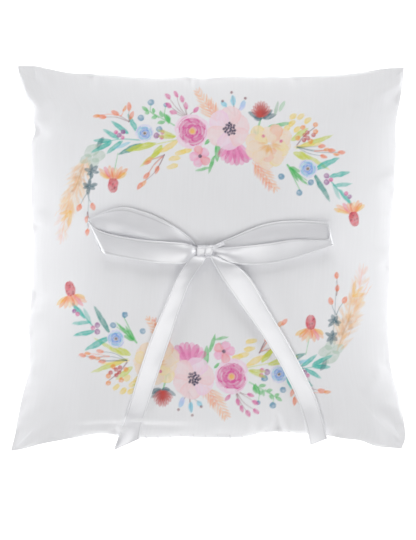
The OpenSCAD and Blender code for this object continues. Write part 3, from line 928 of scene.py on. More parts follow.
    # cream peony, with yellow sprigs
    for x, y in ((40.5, 66), (45, 69.5), (48.5, 67.5), (43, 63), (38, 63.5), (41, 69.5)):
        art.leaf((x - 1.6, y - 1.2), (x + 1.8, y + 1.4), 2.6, "yellow", blunt=0.5)
    art.fern((21, 48), (33, 31.5), 6.4, "peach", pairs=8, strength=0.85)
    art.fern((20.5, 46), (30, 32), 5.0, "coral", pairs=6, strength=0.55)
    art.peony((29, 54.6), 12.4, ("cream", "cream", "peach", "cream", "yellow"), "tan")
    for at in ((26, 59.5), (35, 57)):
        art.spot(at, 0.8, "magenta", 0.8, shine=0)
    # right side: lime leaves, berries, a blue flower and teal leaves
    for mark in (
        ((42, 53), (62, 60.5), 2.6, "lime", 0.9), ((40, 57), (49, 64), 2.8, "lime", 0.85),
        ((41, 51.5), (50, 47), 3.2, "lime", 0.95), ((44, 52), (60.5, 42), 2.0, "lime", 0.85),
        ((41, 54), (57, 56), 1.8, "yellow", 0.8),
    ):
        art.leaf(*mark)
    places = [(55, 54.5), (60, 52.5), (65, 51.5), (56, 49.5)]
    art.buds((43, 54), places, "coral", size=3.6, stem_tint="slate_teal", width=2.0)
    art.buds((52, 52), [(62.5, 50.5), (57.5, 52.8)], "orange", size=3.0, stem_tint="coral", width=1.6)
    art.stem([(43, 55), (47, 60), (52, 64)], 0.7, "maroon", 0.7)
    art.berries([(46, 64), (52.5, 65.5), (52.5, 61.8), (50, 57), (43.5, 58.5)], 1.25, "orange")
    art.berries([(47, 60), (48.4, 61.4), (46.6, 57.6), (51.4, 60.2), (48.6, 58.6)], 1.1, "brick")
    art.stem([(38, 45), (44, 40), (48, 37)], 0.7, "green", 0.8)
    art.stem([(38, 45), (42, 37), (44.5, 32)], 0.7, "green", 0.8)
    art.leaves((39, 44), [(46, 41), (44, 36), (49, 34)], 1.7, "green")
    art.berries([(35, 39), (50, 36), (44, 30.8)], 1.5, "slate_blue")
    for mark in (
        ((51, 42), (65, 49), 3.0, "teal"), ((51.5, 40.5), (60, 26), 2.8, "dark_teal"),
        ((59, 39), (70.5, 41.5), 2.4, "teal"), ((61, 34.5), (71.5, 35.5), 2.0, "teal", 0.8),
        ((61, 36), (65, 27), 2.0, "teal", 0.6),
    ):
        art.leaf(*mark)
    art.stem([(60, 37), (66, 30), (70.5, 25)], 0.7, "teal", 0.8)
    art.leaf((64, 33), (71.5, 24), 2.2, "teal")
    art.berries([(58, 39.4), (58, 36.2)], 1.4, "purple")
    art.berries([(60.2, 37.5), (68, 30.5)], 1.1, "magenta")
    art.berries([(69.8, 29)], 1.1, "purple")
    art.rose((48.5, 43), 4.8, ("lavender", "cyan", "blue"), "navy", turn=0.1)
    art.coneflower((72, 17.8), (71.2, 21.5), (0.2, -1), 8.5)


def wreath_colour(places):
    """The cloth's colour at each place on the front: white, with the two printed arcs."""
    colour = np.tile(srgb(250, 250, 252), (len(places), 1))
    centred = places - np.array(WREATH_CENTRE)
    for hand, seed in ((1, 31), (-1, 57)):
        draw_arc(Brush(centred * hand, colour, seed))
    return colour


# ---- ribbon ----

RIBBON_THICKNESS = 0.28
# how far across the ribbon its points lie, in millimetres from an edge; they are closer at the woven edge
EDGE_STEPS = (0.0, 0.15, 0.32, 0.5, 0.68, 0.88, 1.15, 1.6, 2.3, 3.2, 4.3)
BEAD_AT = 0.5
BEAD_SIZE = 0.07
# where the line of painted shade runs along the ribbon, in millimetres from an edge
GROOVE_AT = 1.1
CREASE_ROUND = 0.1  # how softly a crease bends, as a share of half the ribbon's width


def ribbon_surface(lines, width, step=0.7, wave=0.0, seed=1, crease=None):
    """The ribbon's middle surface from its lines, which run along it: first edge, middle, second edge.

    crease says for each place along the lines how sharply the ribbon bends at its middle, from 0 to 1.
    """
    lines = np.array(lines, float)
    middle = lines[1]
    along = np.concatenate([[0], np.cumsum(np.linalg.norm(np.diff(middle, axis=0), axis=1))])
    count = max(12, int(along[-1] / step))
    at = np.linspace(0, along[-1], count)
    first, centre, second = (smooth_through(along, line, at) for line in lines)
    edge = np.array(EDGE_STEPS) / (width / 2) - 1
    across = np.concatenate([edge, [0], -edge[::-1]])
    w = across[None, :, None]
    sides = first[:, None] * w * (w - 1) / 2, second[:, None] * w * (w + 1) / 2
    surface = sides[0] + centre[:, None] * (1 - w * w) + sides[1]
    if crease is not None:
        share = np.interp(at, along, crease)[:, None, None]
        bend = np.sqrt(w * w + CREASE_ROUND**2)
        full = math.sqrt(1 + CREASE_ROUND**2)
        folded_flat = (
            centre[:, None]
            + (first - centre)[:, None] * (bend - w) / (full + 1)
            + (second - centre)[:, None] * (bend + w) / (full + 1)
        )
        surface = surface * (1 - share) + folded_flat * share
    if wave:
        ripple = Noise(seed)
        lift = wave * ripple(at[:, None] / 9, across[None, :] * 0.8 + 3)
        surface = surface + grid_normals(surface) * lift[..., None]
    return surface, at, across * width / 2


def ribbon_piece(name, surface, at, across, width, material, pleats=None):
    """A closed ribbon around its middle surface, with a woven bead along each edge."""
    normal = grid_normals(surface)
    from_edge = width / 2 - np.abs(across)
    bead = BEAD_SIZE * np.exp(-(((from_edge - BEAD_AT) / 0.2) ** 2))
    bead -= 0.05 * np.exp(-(((from_edge - 1.05) / 0.2) ** 2))
    if pleats is not None:
        surface = surface + normal * pleats[..., None]
        normal = grid_normals(surface)
    half = (RIBBON_THICKNESS / 2 * np.sqrt(np.clip(from_edge / 0.1, 0.15, 1)) + bead)[None, :, None]
    upper = surface + normal * half
    lower = (surface - normal * half)[:, ::-1]
    ring = np.concatenate([upper, lower], axis=1)
    rows, columns = ring.shape[:2]
    faces = grid_faces(rows, columns, around=True)
    wide = columns // 2
    for row, flip in ((0, False), (rows - 1, True)):
        for k in range(wide - 1):
            quad = [row * columns + n for n in (k, k + 1, columns - 2 - k, columns - 1 - k)]
            faces.append(quad[::-1] if flip else quad)
    flat_across = np.concatenate([across, across[::-1]]) * MM
    uv = np.stack(np.broadcast_arrays(flat_across[None, :], (at * MM)[:, None]), -1).reshape(-1, 2)
    obj = build(name, ring.reshape(-1, 3), faces, material, uv)
    turn_outward(obj)
    return obj


def turn_outward(obj):
    """Flips a closed mesh whose faces point inwards."""
    mesh = obj.data
    volume = 0.0
    for face in mesh.polygons:
        corners = [mesh.vertices[k].co for k in face.vertices]
        for a, b in zip(corners[1:-1], corners[2:]):
            volume += corners[0].dot(a.cross(b))
    if volume < 0:
        mesh.flip_normals()


class Crown:
    """Heights of the finished front, for laying things on it."""

    def __init__(self, grid, cells=112):
        step = (grid.shape[0] - 1) // cells
        coarse = grid[::step, ::step]
        count = coarse.shape[0]
        self.tree = BVHTree.FromPolygons(
            [Vector(p) for p in coarse.reshape(-1, 3)], grid_faces(count, count), all_triangles=False
        )

    def height(self, x, y):
        hit = self.tree.ray_cast(Vector((x, y, 200)), Vector((0, 0, -1)))[0]
        return hit.z if hit is not None else SEAM_Z


def cambered(first, second, bow):
    """The middle line between two edge lines, lifted square to the ribbon by bow."""
    middle = first * 0.5 + second * 0.5
    along = np.gradient(middle, axis=0)
    normal = np.cross(second - first, along)
    normal /= np.maximum(np.linalg.norm(normal, axis=1, keepdims=True), 1e-9)
    return middle + normal * np.asarray(bow, float).reshape(-1, 1)


# ---- the bow ----
# Edge places of each part of the ribbon, seen from above, with their height above the cushion.

RIBBON_WIDTH = 11.8

LEFT_LOOP = [
    # first edge, second edge, and either the camber or the place of the crease between them
    ((-2.6, 5.4, 2.6), (-2.8, 2.4, 2.6), 0.4),
    ((-5.6, 6.8, 2.6), (-6.0, 2.2, 2.4), 0.7),
    ((-10, 11.2, 2.4), (-11, 3.0, 2.4), 0.9),
    ((-16.4, 15.9, 1.7), (-17, 4.6, 2.2), 0.8),
    ((-26.1, 21.2, 1.8), (-26.6, 6.6, 2.0), (-25.6, 10.4, 2.8)),
    ((-34.6, 24.4, 1.9), (-35.5, 8.0, 1.8), (-34.8, 13.8, 3.3)),
    ((-44.2, 26.2, 2.2), (-44.0, 9.0, 1.4), (-45.4, 17.8, 3.9)),
    ((-51.0, 24.5, 2.7), (-50.2, 8.6, 1.8), (-51.8, 19.6, 4.3)),
    ((-56.6, 22.3, 3.5), (-54.6, 7.6, 2.6), (-57.0, 20.4, 4.6)),
    ((-60.0, 21.0, 4.4), (-55.0, 4.8, 4.1), (-59.7, 19.8, 4.9)),
    ((-61.3, 20.4, 4.9), (-53.8, 3.2, 4.6), 0.0),
    ((-61.4, 19.9, 5.1), (-53.2, 2.5, 4.9), 0.0),
    ((-60.9, 18.9, 5.3), (-52.4, 2.2, 5.2), 0.0),
    ((-58.4, 16.0, 5.2), (-50.4, 1.9, 5.2), 0.05),
    ((-54.0, 13.8, 5.0), (-46.4, 1.0, 5.0), 0.15),
    ((-47.6, 12.0, 4.8), (-41.0, 0.0, 4.8), 0.25),
    ((-40.8, 10.7, 4.7), (-35.0, -1.0, 4.7), 0.3),
    ((-33.0, 9.6, 4.7), (-28.6, -1.9, 4.6), 0.45),
    ((-24.2, 8.8, 4.8), (-21.6, -2.6, 4.5), 0.8),
    ((-17, 8.2, 5.4), (-15.4, -2.8, 4.9), 1.4),
    ((-12.4, 7.8, 5.4), (-11.4, -2.0, 4.6), 2.2),
    ((-9.2, 7.0, 5.2), (-8.8, 0.2, 4.6), 1.9),
    ((-6.6, 6.0, 4.8), (-6.6, 2.0, 4.4), 0.9),
    ((-3, 5.2, 4.2), (-3, 2.4, 4.0), 0.4),
]
RIGHT_LOOP = [
    ((1.0, 5.4, 2.6), (1.0, 2.2, 2.6), 0.4),
    ((5, 7.8, 2.5), (5, 1.8, 2.4), 0.7),
    ((12, 10.9, 1.9), (12.5, 1.0, 2.3), 0.9),
    ((20, 14.4, 1.6), (22, 3.0, 2.2), 0.8),
    ((28.4, 17.5, 1.5), (30, 5.4, 2.3), 0.7),
    ((36.5, 19.0, 1.6), (37, 6.6, 2.6), 0.6),
    ((45.6, 19.4, 2.1), (45, 7.0, 3.0), 0.5),
    ((53.8, 19.1, 2.9), (53.8, 7.2, 3.6), 0.3),
    ((59.0, 18.6, 4.2), (61.2, 7.2, 4.5), 0.1),
    ((60.8, 18.3, 4.6), (63.4, 7.1, 4.7), 0.0),
    ((61.2, 17.7, 4.9), (63.8, 6.9, 5.0), 0.0),
    ((61.6, 15.4, 5.2), (63.4, 6.7, 5.2), 0.0),
    ((61.8, 11.0, 5.4), (61.0, 5.9, 5.2), 0.05),
    ((56.8, 9.7, 5.2), (55.6, 4.0, 4.6), 0.25),
    ((50.4, 9.8, 5.0), (49, 1.9, 4.1), 0.4),
    ((42.4, 9.6, 4.9), (40.4, -0.8, 3.7), 0.6),
    ((34.2, 8.3, 4.9), (32.4, -2.4, 3.6), 0.8),
    ((26.2, 7.2, 4.9), (24.2, -3.1, 3.5), 0.9),
    ((18.4, 6.4, 5.0), (16.6, -3.0, 3.6), 1.3),
    ((12.4, 5.9, 5.6), (10.6, -2.0, 4.4), 1.8),
    ((8.0, 5.6, 5.4), (7.2, 0.0, 4.6), 1.6),
    ((4.8, 5.2, 5.0), (4.2, 1.6, 4.6), 0.8),
    ((1.0, 5.0, 4.2), (1.0, 2.4, 4.0), 0.4),
]
LEFT_TAIL = [
    ((-4.5, 2.8, 3.4), (0.6, 2.4, 3.4), 0.1),
    ((-8.4, 0.9, 4.6), (-0.6, 0.9, 4.6), 0.2),
    ((-12.0, -3.4, 5.6), (-2.4, -1.8, 5.6), 0.3),
    ((-15.8, -9.6, 4.9), (-6.2, -7.2, 5.2), 0.3),
    ((-19.3, -17.0, 3.8), (-9.6, -12.8, 4.4), 0.3),
    ((-22.8, -25.2, 3.0), (-12.8, -20.8, 3.4), 0.3),
    ((-26.4, -33.4, 2.8), (-16.0, -29.8, 3.1), 0.3),
    ((-30.1, -42.4, 2.4), (-19.0, -39.6, 2.6), 0.3),
    ((-33.2, -51.4, 2.1), (-22.0, -48.2, 2.2), 0.3),
    ((-36.2, -60.4, 1.8), (-25.0, -57.2, 1.9), 0.3),
    ((-39.2, -70.4, 1.5), (-28.2, -66.8, 1.6), 0.3),
    ((-42.4, -80.0, 1.2), (-31.2, -76.4, 1.2), 0.25),
    ((-45.6, -89.6, 1.0), (-33.8, -84.8, 0.9), 0.2),
    ((-48.4, -97.8, 1.6), (-35.1, -91.9, 1.4), 0.1),
]
RIGHT_TAIL = [
    ((3.0, 2.6, 3.4), (-1.2, 2.4, 3.4), 0.1),
    ((7.4, -0.4, 4.7), (0.6, 1.0, 4.6), 0.2),
    ((14.0, -3.4, 5.8), (3.2, -3.6, 5.5), 0.4),
    ((19.2, -7.4, 5.4), (7.2, -10.6, 4.7), 0.4),
    ((23.8, -13.8, 4.5), (12.3, -17.8, 3.9), 0.4),
    ((28.8, -22.8, 3.7), (17.8, -25.6, 3.3), 0.4),
    ((33.8, -31.2, 3.1), (23.2, -32.8, 2.8), 0.4),
    ((38.8, -39.4, 2.7), (28.2, -40.2, 2.4), 0.4),
    ((43.6, -48.0, 2.4), (33.6, -48.8, 2.1), 0.35),
    ((48.0, -56.4, 2.2), (38.6, -57.8, 1.8), 0.35),
    ((52.3, -65.2, 2.0), (43.6, -67.6, 1.5), 0.3),
    ((55.7, -73.4, 1.9), (47.4, -77.2, 1.3), 0.3),
    ((58.4, -82.2, 1.8), (50.1, -86.5, 1.2), 0.25),
    ((60.7, -91.7, 2.4), (51.9, -95.2, 1.8), 0.2),
]


def laid(x, y, up, crown):
    """The place at that height over the cushion which shows at x, y from the camera above."""
    z = crown.height(x, y) + up
    share = 1 - (z - SEAM_Z) / VIEW_DISTANCE
    return (VIEW_CENTRE[0] + (x - VIEW_CENTRE[0]) * share, VIEW_CENTRE[1] + (y - VIEW_CENTRE[1]) * share, z)


def bow_lines(stations, crown):
    """The edge lines and middle line of a part of the bow, in the frame."""
    first, second = (np.array([laid(*station[k], crown) for station in stations]) for k in (0, 1))
    given = [isinstance(station[2], tuple) for station in stations]
    middle = cambered(first, second, [0.0 if bend else station[2] for station, bend in zip(stations, given)])
    for k, station in enumerate(stations):
        if given[k]:
            middle[k] = laid(*station[2], crown)
    return [first, middle, second]


def bow_piece(name, node, stations, crown, material, seed):
    """A loop or tail of the bow."""
    crease = [float(isinstance(station[2], tuple)) for station in stations]
    surface, at, across = ribbon_surface(
        bow_lines(stations, crown), RIBBON_WIDTH, step=0.4, wave=0.25, seed=seed, crease=crease
    )
    obj = ribbon_piece(name, surface, at, across, RIBBON_WIDTH, material)
    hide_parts(node)
    hinge = hinge_of[name]
    middle = Vector(surface[:, surface.shape[1] // 2].mean(axis=0) * MM)
    out = (middle - hinge) * Vector((1, 1, 0))
    out.normalize()
    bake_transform(obj)


def knot_piece(crown, material):
    """The ribbon gathered round the bow's middle: a band down over the loops, folded lengthways."""
    top = crown.height(KNOT_X, KNOT_Y)
    path = [  # left end x, right end x, y, height
        (-4.6, 2.2, 6.5, 1.0), (-5.1, 2.8, 6.5, 3.6), (-5.4, 3.1, 6.2, 6.0), (-5.6, 3.0, 5.4, 6.8),
        (-5.7, 2.7, 4.3, 6.6), (-5.8, 2.3, 3.1, 6.25), (-5.8, 2.0, 2.1, 5.7), (-5.5, 1.7, 1.5, 4.2),
        (-5.0, 1.4, 1.4, 1.0),
    ]
    lines = [
        [(left, y - 0.25, top + up - 0.6) for left, right, y, up in path],
        [((left + right) / 2, y, top + up) for left, right, y, up in path],
        [(right, y + 0.2, top + up - 0.6) for left, right, y, up in path],
    ]
    width = 8.2
    surface, at, across = ribbon_surface(lines, width, step=0.25)
    share = across / (width / 2)
    drift = 0.25 * np.sin(at / at[-1] * math.pi * 1.6)[:, None]
    pleats = 0.14 * np.cos(math.pi * (2.6 * share[None, :] + drift))
    pleats = pleats + 0.1 * np.cos(math.pi * 6.2 * share)[None, :]
    obj = ribbon_piece("knot", surface, at, across, width, material, pleats=pleats)
    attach(obj, "cushion")
    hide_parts("bow_knot")


def knot_core(crown, material):
    """The turns of ribbon inside the knot, seen only between its folds."""
    top = crown.height(KNOT_X, KNOT_Y)
    rows, columns = 25, 40
    around = np.linspace(0, 2 * math.pi, columns, endpoint=False)
    polar, turn = np.meshgrid(np.linspace(0.02, math.pi - 0.02, rows), around, indexing="ij")
    folds = 1 + 0.05 * np.sin(6 * polar + 2 * np.cos(turn))
    x = -1.5 + 3.6 * np.sin(polar) * np.cos(turn) * folds
    y = 3.8 + 1.7 * np.sin(polar) * np.sin(turn) * folds
    z = top + 4.0 + 1.7 * np.cos(polar) * folds
    faces = grid_faces(rows, columns, around=True, flip=True)
    faces += [list(range(columns)), list(range((rows - 1) * columns, rows * columns))[::-1]]
    obj = build("knot_core", np.stack([x, y, z], -1).reshape(-1, 3), faces, material)
    turn_outward(obj)
    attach(obj, "cushion")


def curl_piece(crown, material):
    """The little twist where the ribbon slips out of the knot at its upper right."""
    top = crown.height(KNOT_X, KNOT_Y)
    lines = [
        [(1.4, 4.8, 5.2), (3.2, 6.3, 6.2), (5.0, 7.3, 6.0), (6.8, 8.0, 4.6), (8.4, 8.0, 2.9)],
        [(1.7, 4.3, 6.0), (3.6, 5.7, 7.1), (5.5, 6.7, 6.7), (7.2, 7.4, 5.2), (8.7, 7.5, 3.3)],
        [(2.1, 3.7, 5.8), (4.2, 5.1, 6.7), (6.0, 6.1, 6.2), (7.6, 6.8, 4.7), (9.0, 7.0, 2.9)],
    ]
    lines = [[(x, y, top + z) for x, y, z in line] for line in lines]
    width = 5.0
    surface, at, across = ribbon_surface(lines, width, step=0.4)
    pleats = 0.25 * np.cos(math.pi * 3 * across / width)[None, :] * np.ones((len(at), 1))
    obj = ribbon_piece("knot_curl", surface, at, across, width, material, pleats=pleats)
    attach(obj, "cushion")


def ribbon_base_piece(crown, material):
    """The middle of the ribbon, laid under the knot and held by the tack."""
    width = 6.4
    lines = [
        [(x, KNOT_Y + side, crown.height(x, KNOT_Y + side) + 0.45) for x in np.arange(-7.5, 6.0, 1.5)]
        for side in (width / 2, 0, -width / 2)
    ]
    surface, at, across = ribbon_surface(lines, width, step=0.6)
    obj = ribbon_piece("ribbon_under_knot", surface, at, across, width, material)
    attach(obj, "cushion")
    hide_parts("ribbon_base")


# ---- threads ----

OPENING = 90.0  # length of the stuffing opening in the lower side
LADDER_PITCH = 6.0
LADDER_HALF = 97.5  # half the lower side, along which the opening is placed
TUBE_SIDES = 8


def tube(points, radius):
    """Points and faces of a capped round tube along a line of points."""
    sides = TUBE_SIDES
    points = np.array(points, float)
    ahead = np.gradient(points, axis=0)
    ahead /= np.linalg.norm(ahead, axis=1, keepdims=True)
    helper = np.where(np.abs(ahead[:, 2:3]) < 0.9, [[0, 0, 1.0]], [[1.0, 0, 0]])
    side = np.cross(helper, ahead)
    side /= np.linalg.norm(side, axis=1, keepdims=True)
    up = np.cross(ahead, side)
    turn = np.linspace(0, 2 * math.pi, sides, endpoint=False)
    size = np.full(len(points), radius)
    size[[0, -1]] *= 0.5
    ring = np.cos(turn)[None, :, None] * side[:, None] + np.sin(turn)[None, :, None] * up[:, None]
    ring = points[:, None] + ring * size[:, None, None]
    faces = grid_faces(len(points), sides, around=True)
    faces += [list(range(sides))[::-1], list(range((len(points) - 1) * sides, len(points) * sides))]
    return ring.reshape(-1, 3), faces


def joined_tubes(name, routes, radius, node, material):
    points, faces, start = [], [], 0
    for route in routes:
        ring, quads = tube(route, radius)
        points.append(ring)
        faces += [[k + start for k in quad] for quad in quads]
        start += len(ring)
    obj = build(name, np.concatenate(points), faces, material)
    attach(obj, "cushion")
    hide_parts(node)


def rim_walk(grid):
    """The seam line as closely spaced points, and how far along each one is."""
    border = rim_order(grid.shape[0] - 1)
    rim = np.array([grid[i, j] for i, j in border])
    rim[:, 2] = SEAM_Z
    along = np.concatenate([[0], np.cumsum(np.linalg.norm(np.diff(rim, axis=0), axis=1))])
    return rim, along


def seam_stitches(grid, material):
    """Machine stitches that show in the crease of the seam, except in the hand-closed opening."""
    rim, along = rim_walk(grid)
    pitch, length, depth = 4.0, 3.1, 0.45
    routes = []
    for start in np.arange(2, along[-1] - length, pitch):
        at = np.linspace(start, start + length, 5)
        route = smooth_through(along, rim, at)
        middle = route[2]
        if middle[1] < -85 and abs(middle[0]) < OPENING / 2:
            continue
        inward = -middle * [1, 1, 0] / math.hypot(middle[0], middle[1])
        dip = np.sin(np.linspace(0, math.pi, 5))[:, None]
        routes.append(route + inward * (depth - 0.25 * dip))
    joined_tubes("seam_stitches", routes, 0.14, "perimeter_seam_thread", material)


def ladder_stitches(front, back, material):
    """Hand stitches across the crease where the opening in the lower side was closed."""
    out = np.array([0, -0.12, 0])
    lean = np.array([0.9, 0, 0])
    routes = []
    for k in np.arange(-7, 8):
        share = (k * LADDER_PITCH / LADDER_HALF + 1) / 2
        i, n = (int(round(share * (grid.shape[0] - 1))) for grid in (front, back))
        upper, rim, lower = front[i, 3], front[i, 0], back[n, 1]
        routes.append([
            upper + [0, 0, -0.25] - lean * 1.1, upper + out + [0, 0, 0.14] - lean,
            (upper + rim) / 2 + out - lean * 0.5, rim + out * 1.5 + [0, 0, -SEAM_GAP],
            (lower + rim) / 2 + out + lean * 0.5, lower + out - [0, 0, 0.14] + lean,
            lower + [0, 0, 0.25] + lean * 1.1,
        ])
    joined_tubes("ladder_stitches", routes, 0.16, "closing_stitches", material)


def centre_tack(crown, back, material):
    """The thread that draws the middle in: twisted strands, a bar under the knot and a tie at the back."""
    middle = back.shape[0] // 2
    low = back[middle, middle, 2]
    top = crown.height(KNOT_X, KNOT_Y) + 1.0
    routes = []
    for k in range(3):
        at = np.linspace(0, 1, 40)
        turn = 2 * math.pi * (at * 5 + k / 3)
        routes.append(np.stack([
            KNOT_X + 0.28 * np.cos(turn), KNOT_Y + 0.28 * np.sin(turn), low - 0.2 + (top - low) * at,
        ], 1))
    for k in range(4):
        angle = k * math.pi / 4 + 0.2
        arm = 1.5 + 0.3 * (k % 2)
        at = np.linspace(-1, 1, 9)
        routes.append(np.stack([
            KNOT_X + arm * at * math.cos(angle), KNOT_Y + arm * at * math.sin(angle),
            low - 0.28 - 0.22 * (1 - at * at) - 0.06 * k + 0.5 * np.abs(at) ** 6,
        ], 1))
    for hand in (-1, 1):
        at = np.linspace(0, 1, 10)
        routes.append(np.stack([
            KNOT_X + hand * (0.3 + 3.4 * at), KNOT_Y + 0.8 * hand * at + 1.1 * at * at,
            low - 0.35 - 0.5 * np.sin(at * math.pi) * 0.3,
        ], 1))
    at = np.linspace(-1, 1, 12)
    routes.append(np.stack([KNOT_X + 2.4 * at, KNOT_Y + 0 * at, top + 0.3 - 0.5 * at**4], 1))
    joined_tubes("centre_tack", routes, 0.2, "centre_tack_thread", material)


# ---- materials ----


class Look:
    """A material, and the nodes that its look is made of."""

    def __init__(self, name):
        self.material = bpy.data.materials.new(name)
        self.material.use_nodes = True
        self.tree = self.material.node_tree
        self.shader = self.tree.nodes["Principled BSDF"]

    def node(self, kind, result, vector=None, **values):
        """A new node with these input values. Gives its output named result."""
        node = self.tree.nodes.new("ShaderNode" + kind)
        for name, value in values.items():
            node.inputs[name.replace("_", " ")].default_value = value
        if vector is not None:
            self.tree.links.new(vector, node.inputs["Vector"])
        return node.outputs[result]

    def join(self, output, place):
        """Feeds the shader's input of that name."""
        self.tree.links.new(output, self.shader.inputs[place])

    def finish(self, **values):
        for name, value in values.items():
            self.shader.inputs[name.replace("_", " ")].default_value = value
        return self.material

    def flat(self):
        """Each point's place on the flat cloth."""
        output = self.node("UVMap", "UV")
        output.node.uv_map = "flat"
        return output

    def stretched(self, vector, scale):
        return self.node("Mapping", "Vector", vector, Scale=scale)

    def noise(self, vector, scale, detail, roughness=0.55):
        return self.node("TexNoise", "Fac", vector, Scale=scale, Detail=detail, Roughness=roughness)

    def threads(self, vector, scale, direction, distortion):
        output = self.node("TexWave", "Fac", vector, Scale=scale, Distortion=distortion, Detail=1.0)
        output.node.wave_type = "BANDS"
        output.node.bands_direction = direction
        return output

    def remap(self, value, low, high, to_low, to_high):
        ends = {"From_Min": low, "From_Max": high, "To_Min": to_low, "To_Max": to_high}
        output = self.node("MapRange", "Result", **ends)
        self.tree.links.new(value, output.node.inputs["Value"])
        return output

    def math(self, operation, value, *rest):
        output = self.node("Math", "Value")
        output.node.operation = operation
        self.tree.links.new(value, output.node.inputs[0])
        for k, number in enumerate(rest, start=1):
            output.node.inputs[k].default_value = number
        return output

    def bump(self, height, strength, distance, normal=None):
        output = self.node("Bump", "Normal", Strength=strength, Distance=distance)
        self.tree.links.new(height, output.node.inputs["Height"])
        if normal is not None:
            self.tree.links.new(normal, output.node.inputs["Normal"])
        return output

    def times(self, first, second):
        """One colour multiplied by another."""
        node = self.tree.nodes.new("ShaderNodeMix")
        node.data_type = "RGBA"
        node.blend_type = "MULTIPLY"
        node.inputs["Factor"].default_value = 1.0
        colours = [socket for socket in node.inputs if socket.type == "RGBA"]
        self.tree.links.new(first, colours[0])
        self.tree.links.new(second, colours[1])
        return [socket for socket in node.outputs if socket.type == "RGBA"][0]

    def grey(self, value):
        """A value as a grey colour."""
        output = self.node("CombineColor", "Color")
        for place in ("Red", "Green", "Blue"):
            self.tree.links.new(value, output.node.inputs[place])
        return output

    def tinted(self, value, dark, light):
        """A colour between two tints, picked by a value from 0 to 1."""
        output = self.node("ValToRGB", "Color")
        for element, tint in zip(output.node.color_ramp.elements, (dark, light)):
            element.color = (*srgb(*tint), 1)
        self.tree.links.new(value, output.node.inputs["Fac"])
        return output


def cover_satin(name, printed):
    """Matt polyester satin: fine crossing threads, faint slubs, and the print where there is one."""
    look = Look(name)
    place = look.flat()
    warp = look.threads(place, 520, "X", 0.4)
    weft = look.threads(place, 430, "Y", 0.4)
    slubs = look.noise(look.stretched(place, (900, 45, 1)), 1.0, 2.0)
    cloudy = look.noise(place, 38, 3.0)
    shade = look.grey(look.remap(slubs, 0.3, 0.7, 0.975, 1.0))
    if printed:
        cloth = look.node("VertexColor", "Color")
        cloth.node.layer_name = "print"
    else:
        cloth = look.tinted(cloudy, (246, 246, 249), (251, 251, 253))
    look.join(look.times(cloth, shade), "Base Color")
    look.join(look.remap(cloudy, 0.3, 0.7, 0.50, 0.58), "Roughness")
    normal = look.bump(warp, 0.10, 0.00006)
    normal = look.bump(weft, 0.08, 0.00005, normal)
    normal = look.bump(slubs, 0.10, 0.00008, normal)
    look.join(normal, "Normal")
    return look.finish(Sheen_Weight=0.25, Sheen_Roughness=0.45, Specular_IOR_Level=0.35)


def ribbon_satin():
    """Glossy satin ribbon: floats run along it, and a line of painted shade in the dent just inside the
    woven edge sets that edge off on each side.
    """
    look = Look("ribbon_satin")
    place = look.flat()
    streaks = look.noise(look.stretched(place, (4200, 160, 1)), 1.0, 2.0)
    weft = look.threads(place, 700, "Y", 0.5)
    cloudy = look.noise(place, 90, 2.0)
    colour = look.tinted(cloudy, (239, 239, 244), (248, 248, 252))
    colour = look.times(colour, look.grey(look.remap(streaks, 0.3, 0.7, 0.965, 1.0)))
    off_middle = look.math("ABSOLUTE", look.node("SeparateXYZ", "X", place))
    # painted shade: the colour is darkened to 0.8 along a thin line about 1.1 mm inside each edge, where the
    # ribbon dips
    painted_groove_shade = look.math("COMPARE", off_middle, (RIBBON_WIDTH / 2 - GROOVE_AT) * MM, 0.2 * MM)
    colour = look.times(colour, look.grey(look.remap(painted_groove_shade, 0, 1, 1.0, 0.8)))
    look.join(colour, "Base Color")
    look.join(look.remap(streaks, 0.3, 0.7, 0.42, 0.5), "Roughness")
    tangent = look.node("Tangent", "Tangent")
    tangent.node.direction_type = "UV_MAP"
    tangent.node.uv_map = "flat"
    look.join(tangent, "Tangent")
    look.join(look.bump(weft, 0.06, 0.00003, look.bump(streaks, 0.12, 0.00004)), "Normal")
    return look.finish(
        Sheen_Weight=0.1, Sheen_Roughness=0.35, Specular_IOR_Level=0.9, IOR=2.75, Anisotropic=0.35
    )


def sewing_thread():
    """Twisted polyester thread."""
    look = Look("sewing_thread")
    twist = look.threads(look.node("TexCoord", "Object"), 2200, "DIAGONAL", 1.0)
    look.join(look.tinted(twist, (222, 222, 226), (247, 247, 250)), "Base Color")
    look.join(look.bump(twist, 0.4, 0.00005), "Normal")
    return look.finish(Roughness=0.5, Sheen_Weight=0.3, Specular_IOR_Level=0.4)


def polyester_fibre():
    """Matted filling fibre."""
    look = Look("polyester_fibre")
    clumps = look.noise(look.node("TexCoord", "Object"), 320, 6.0, 0.7)
    look.join(look.tinted(clumps, (226, 226, 222), (250, 250, 247)), "Base Color")
    look.join(look.bump(clumps, 0.6, 0.0008), "Normal")
    return look.finish(Roughness=0.9, Sheen_Weight=0.5, Specular_IOR_Level=0.1)


def paper_floor():
    """A plain near-white studio sweep."""
    return Look("studio_floor").finish(
        Base_Color=(0.93, 0.93, 0.93, 1), Roughness=0.85, Specular_IOR_Level=0.1,
        Emission_Color=(1, 1, 1, 1), Emission_Strength=FLOOR_GLOW,
    )


# ---- studio ----

FLOOR_GLOW = 0.86
FLOOR_HALF = 3.0
FLOOR_Z = -0.0004
LIGHT_AIM = (0, 0, 0.03)
COOL = (0.97, 0.98, 1.0)
WHITE = (1, 1, 1)


def add_camera():
    """A long lens straight above the cushion; its frame's width is measured in the seam's plane."""
    data = bpy.data.cameras.new("camera")
    data.sensor_fit = "HORIZONTAL"
    data.sensor_width = 36
    data.lens = data.sensor_width * VIEW_DISTANCE / VIEW_WIDTH
    data.clip_start, data.clip_end = 0.1, 20
    camera = add_object("camera", data)
    camera.location = Vector((*VIEW_CENTRE, SEAM_Z + VIEW_DISTANCE)) * MM
    bpy.context.scene.camera = camera


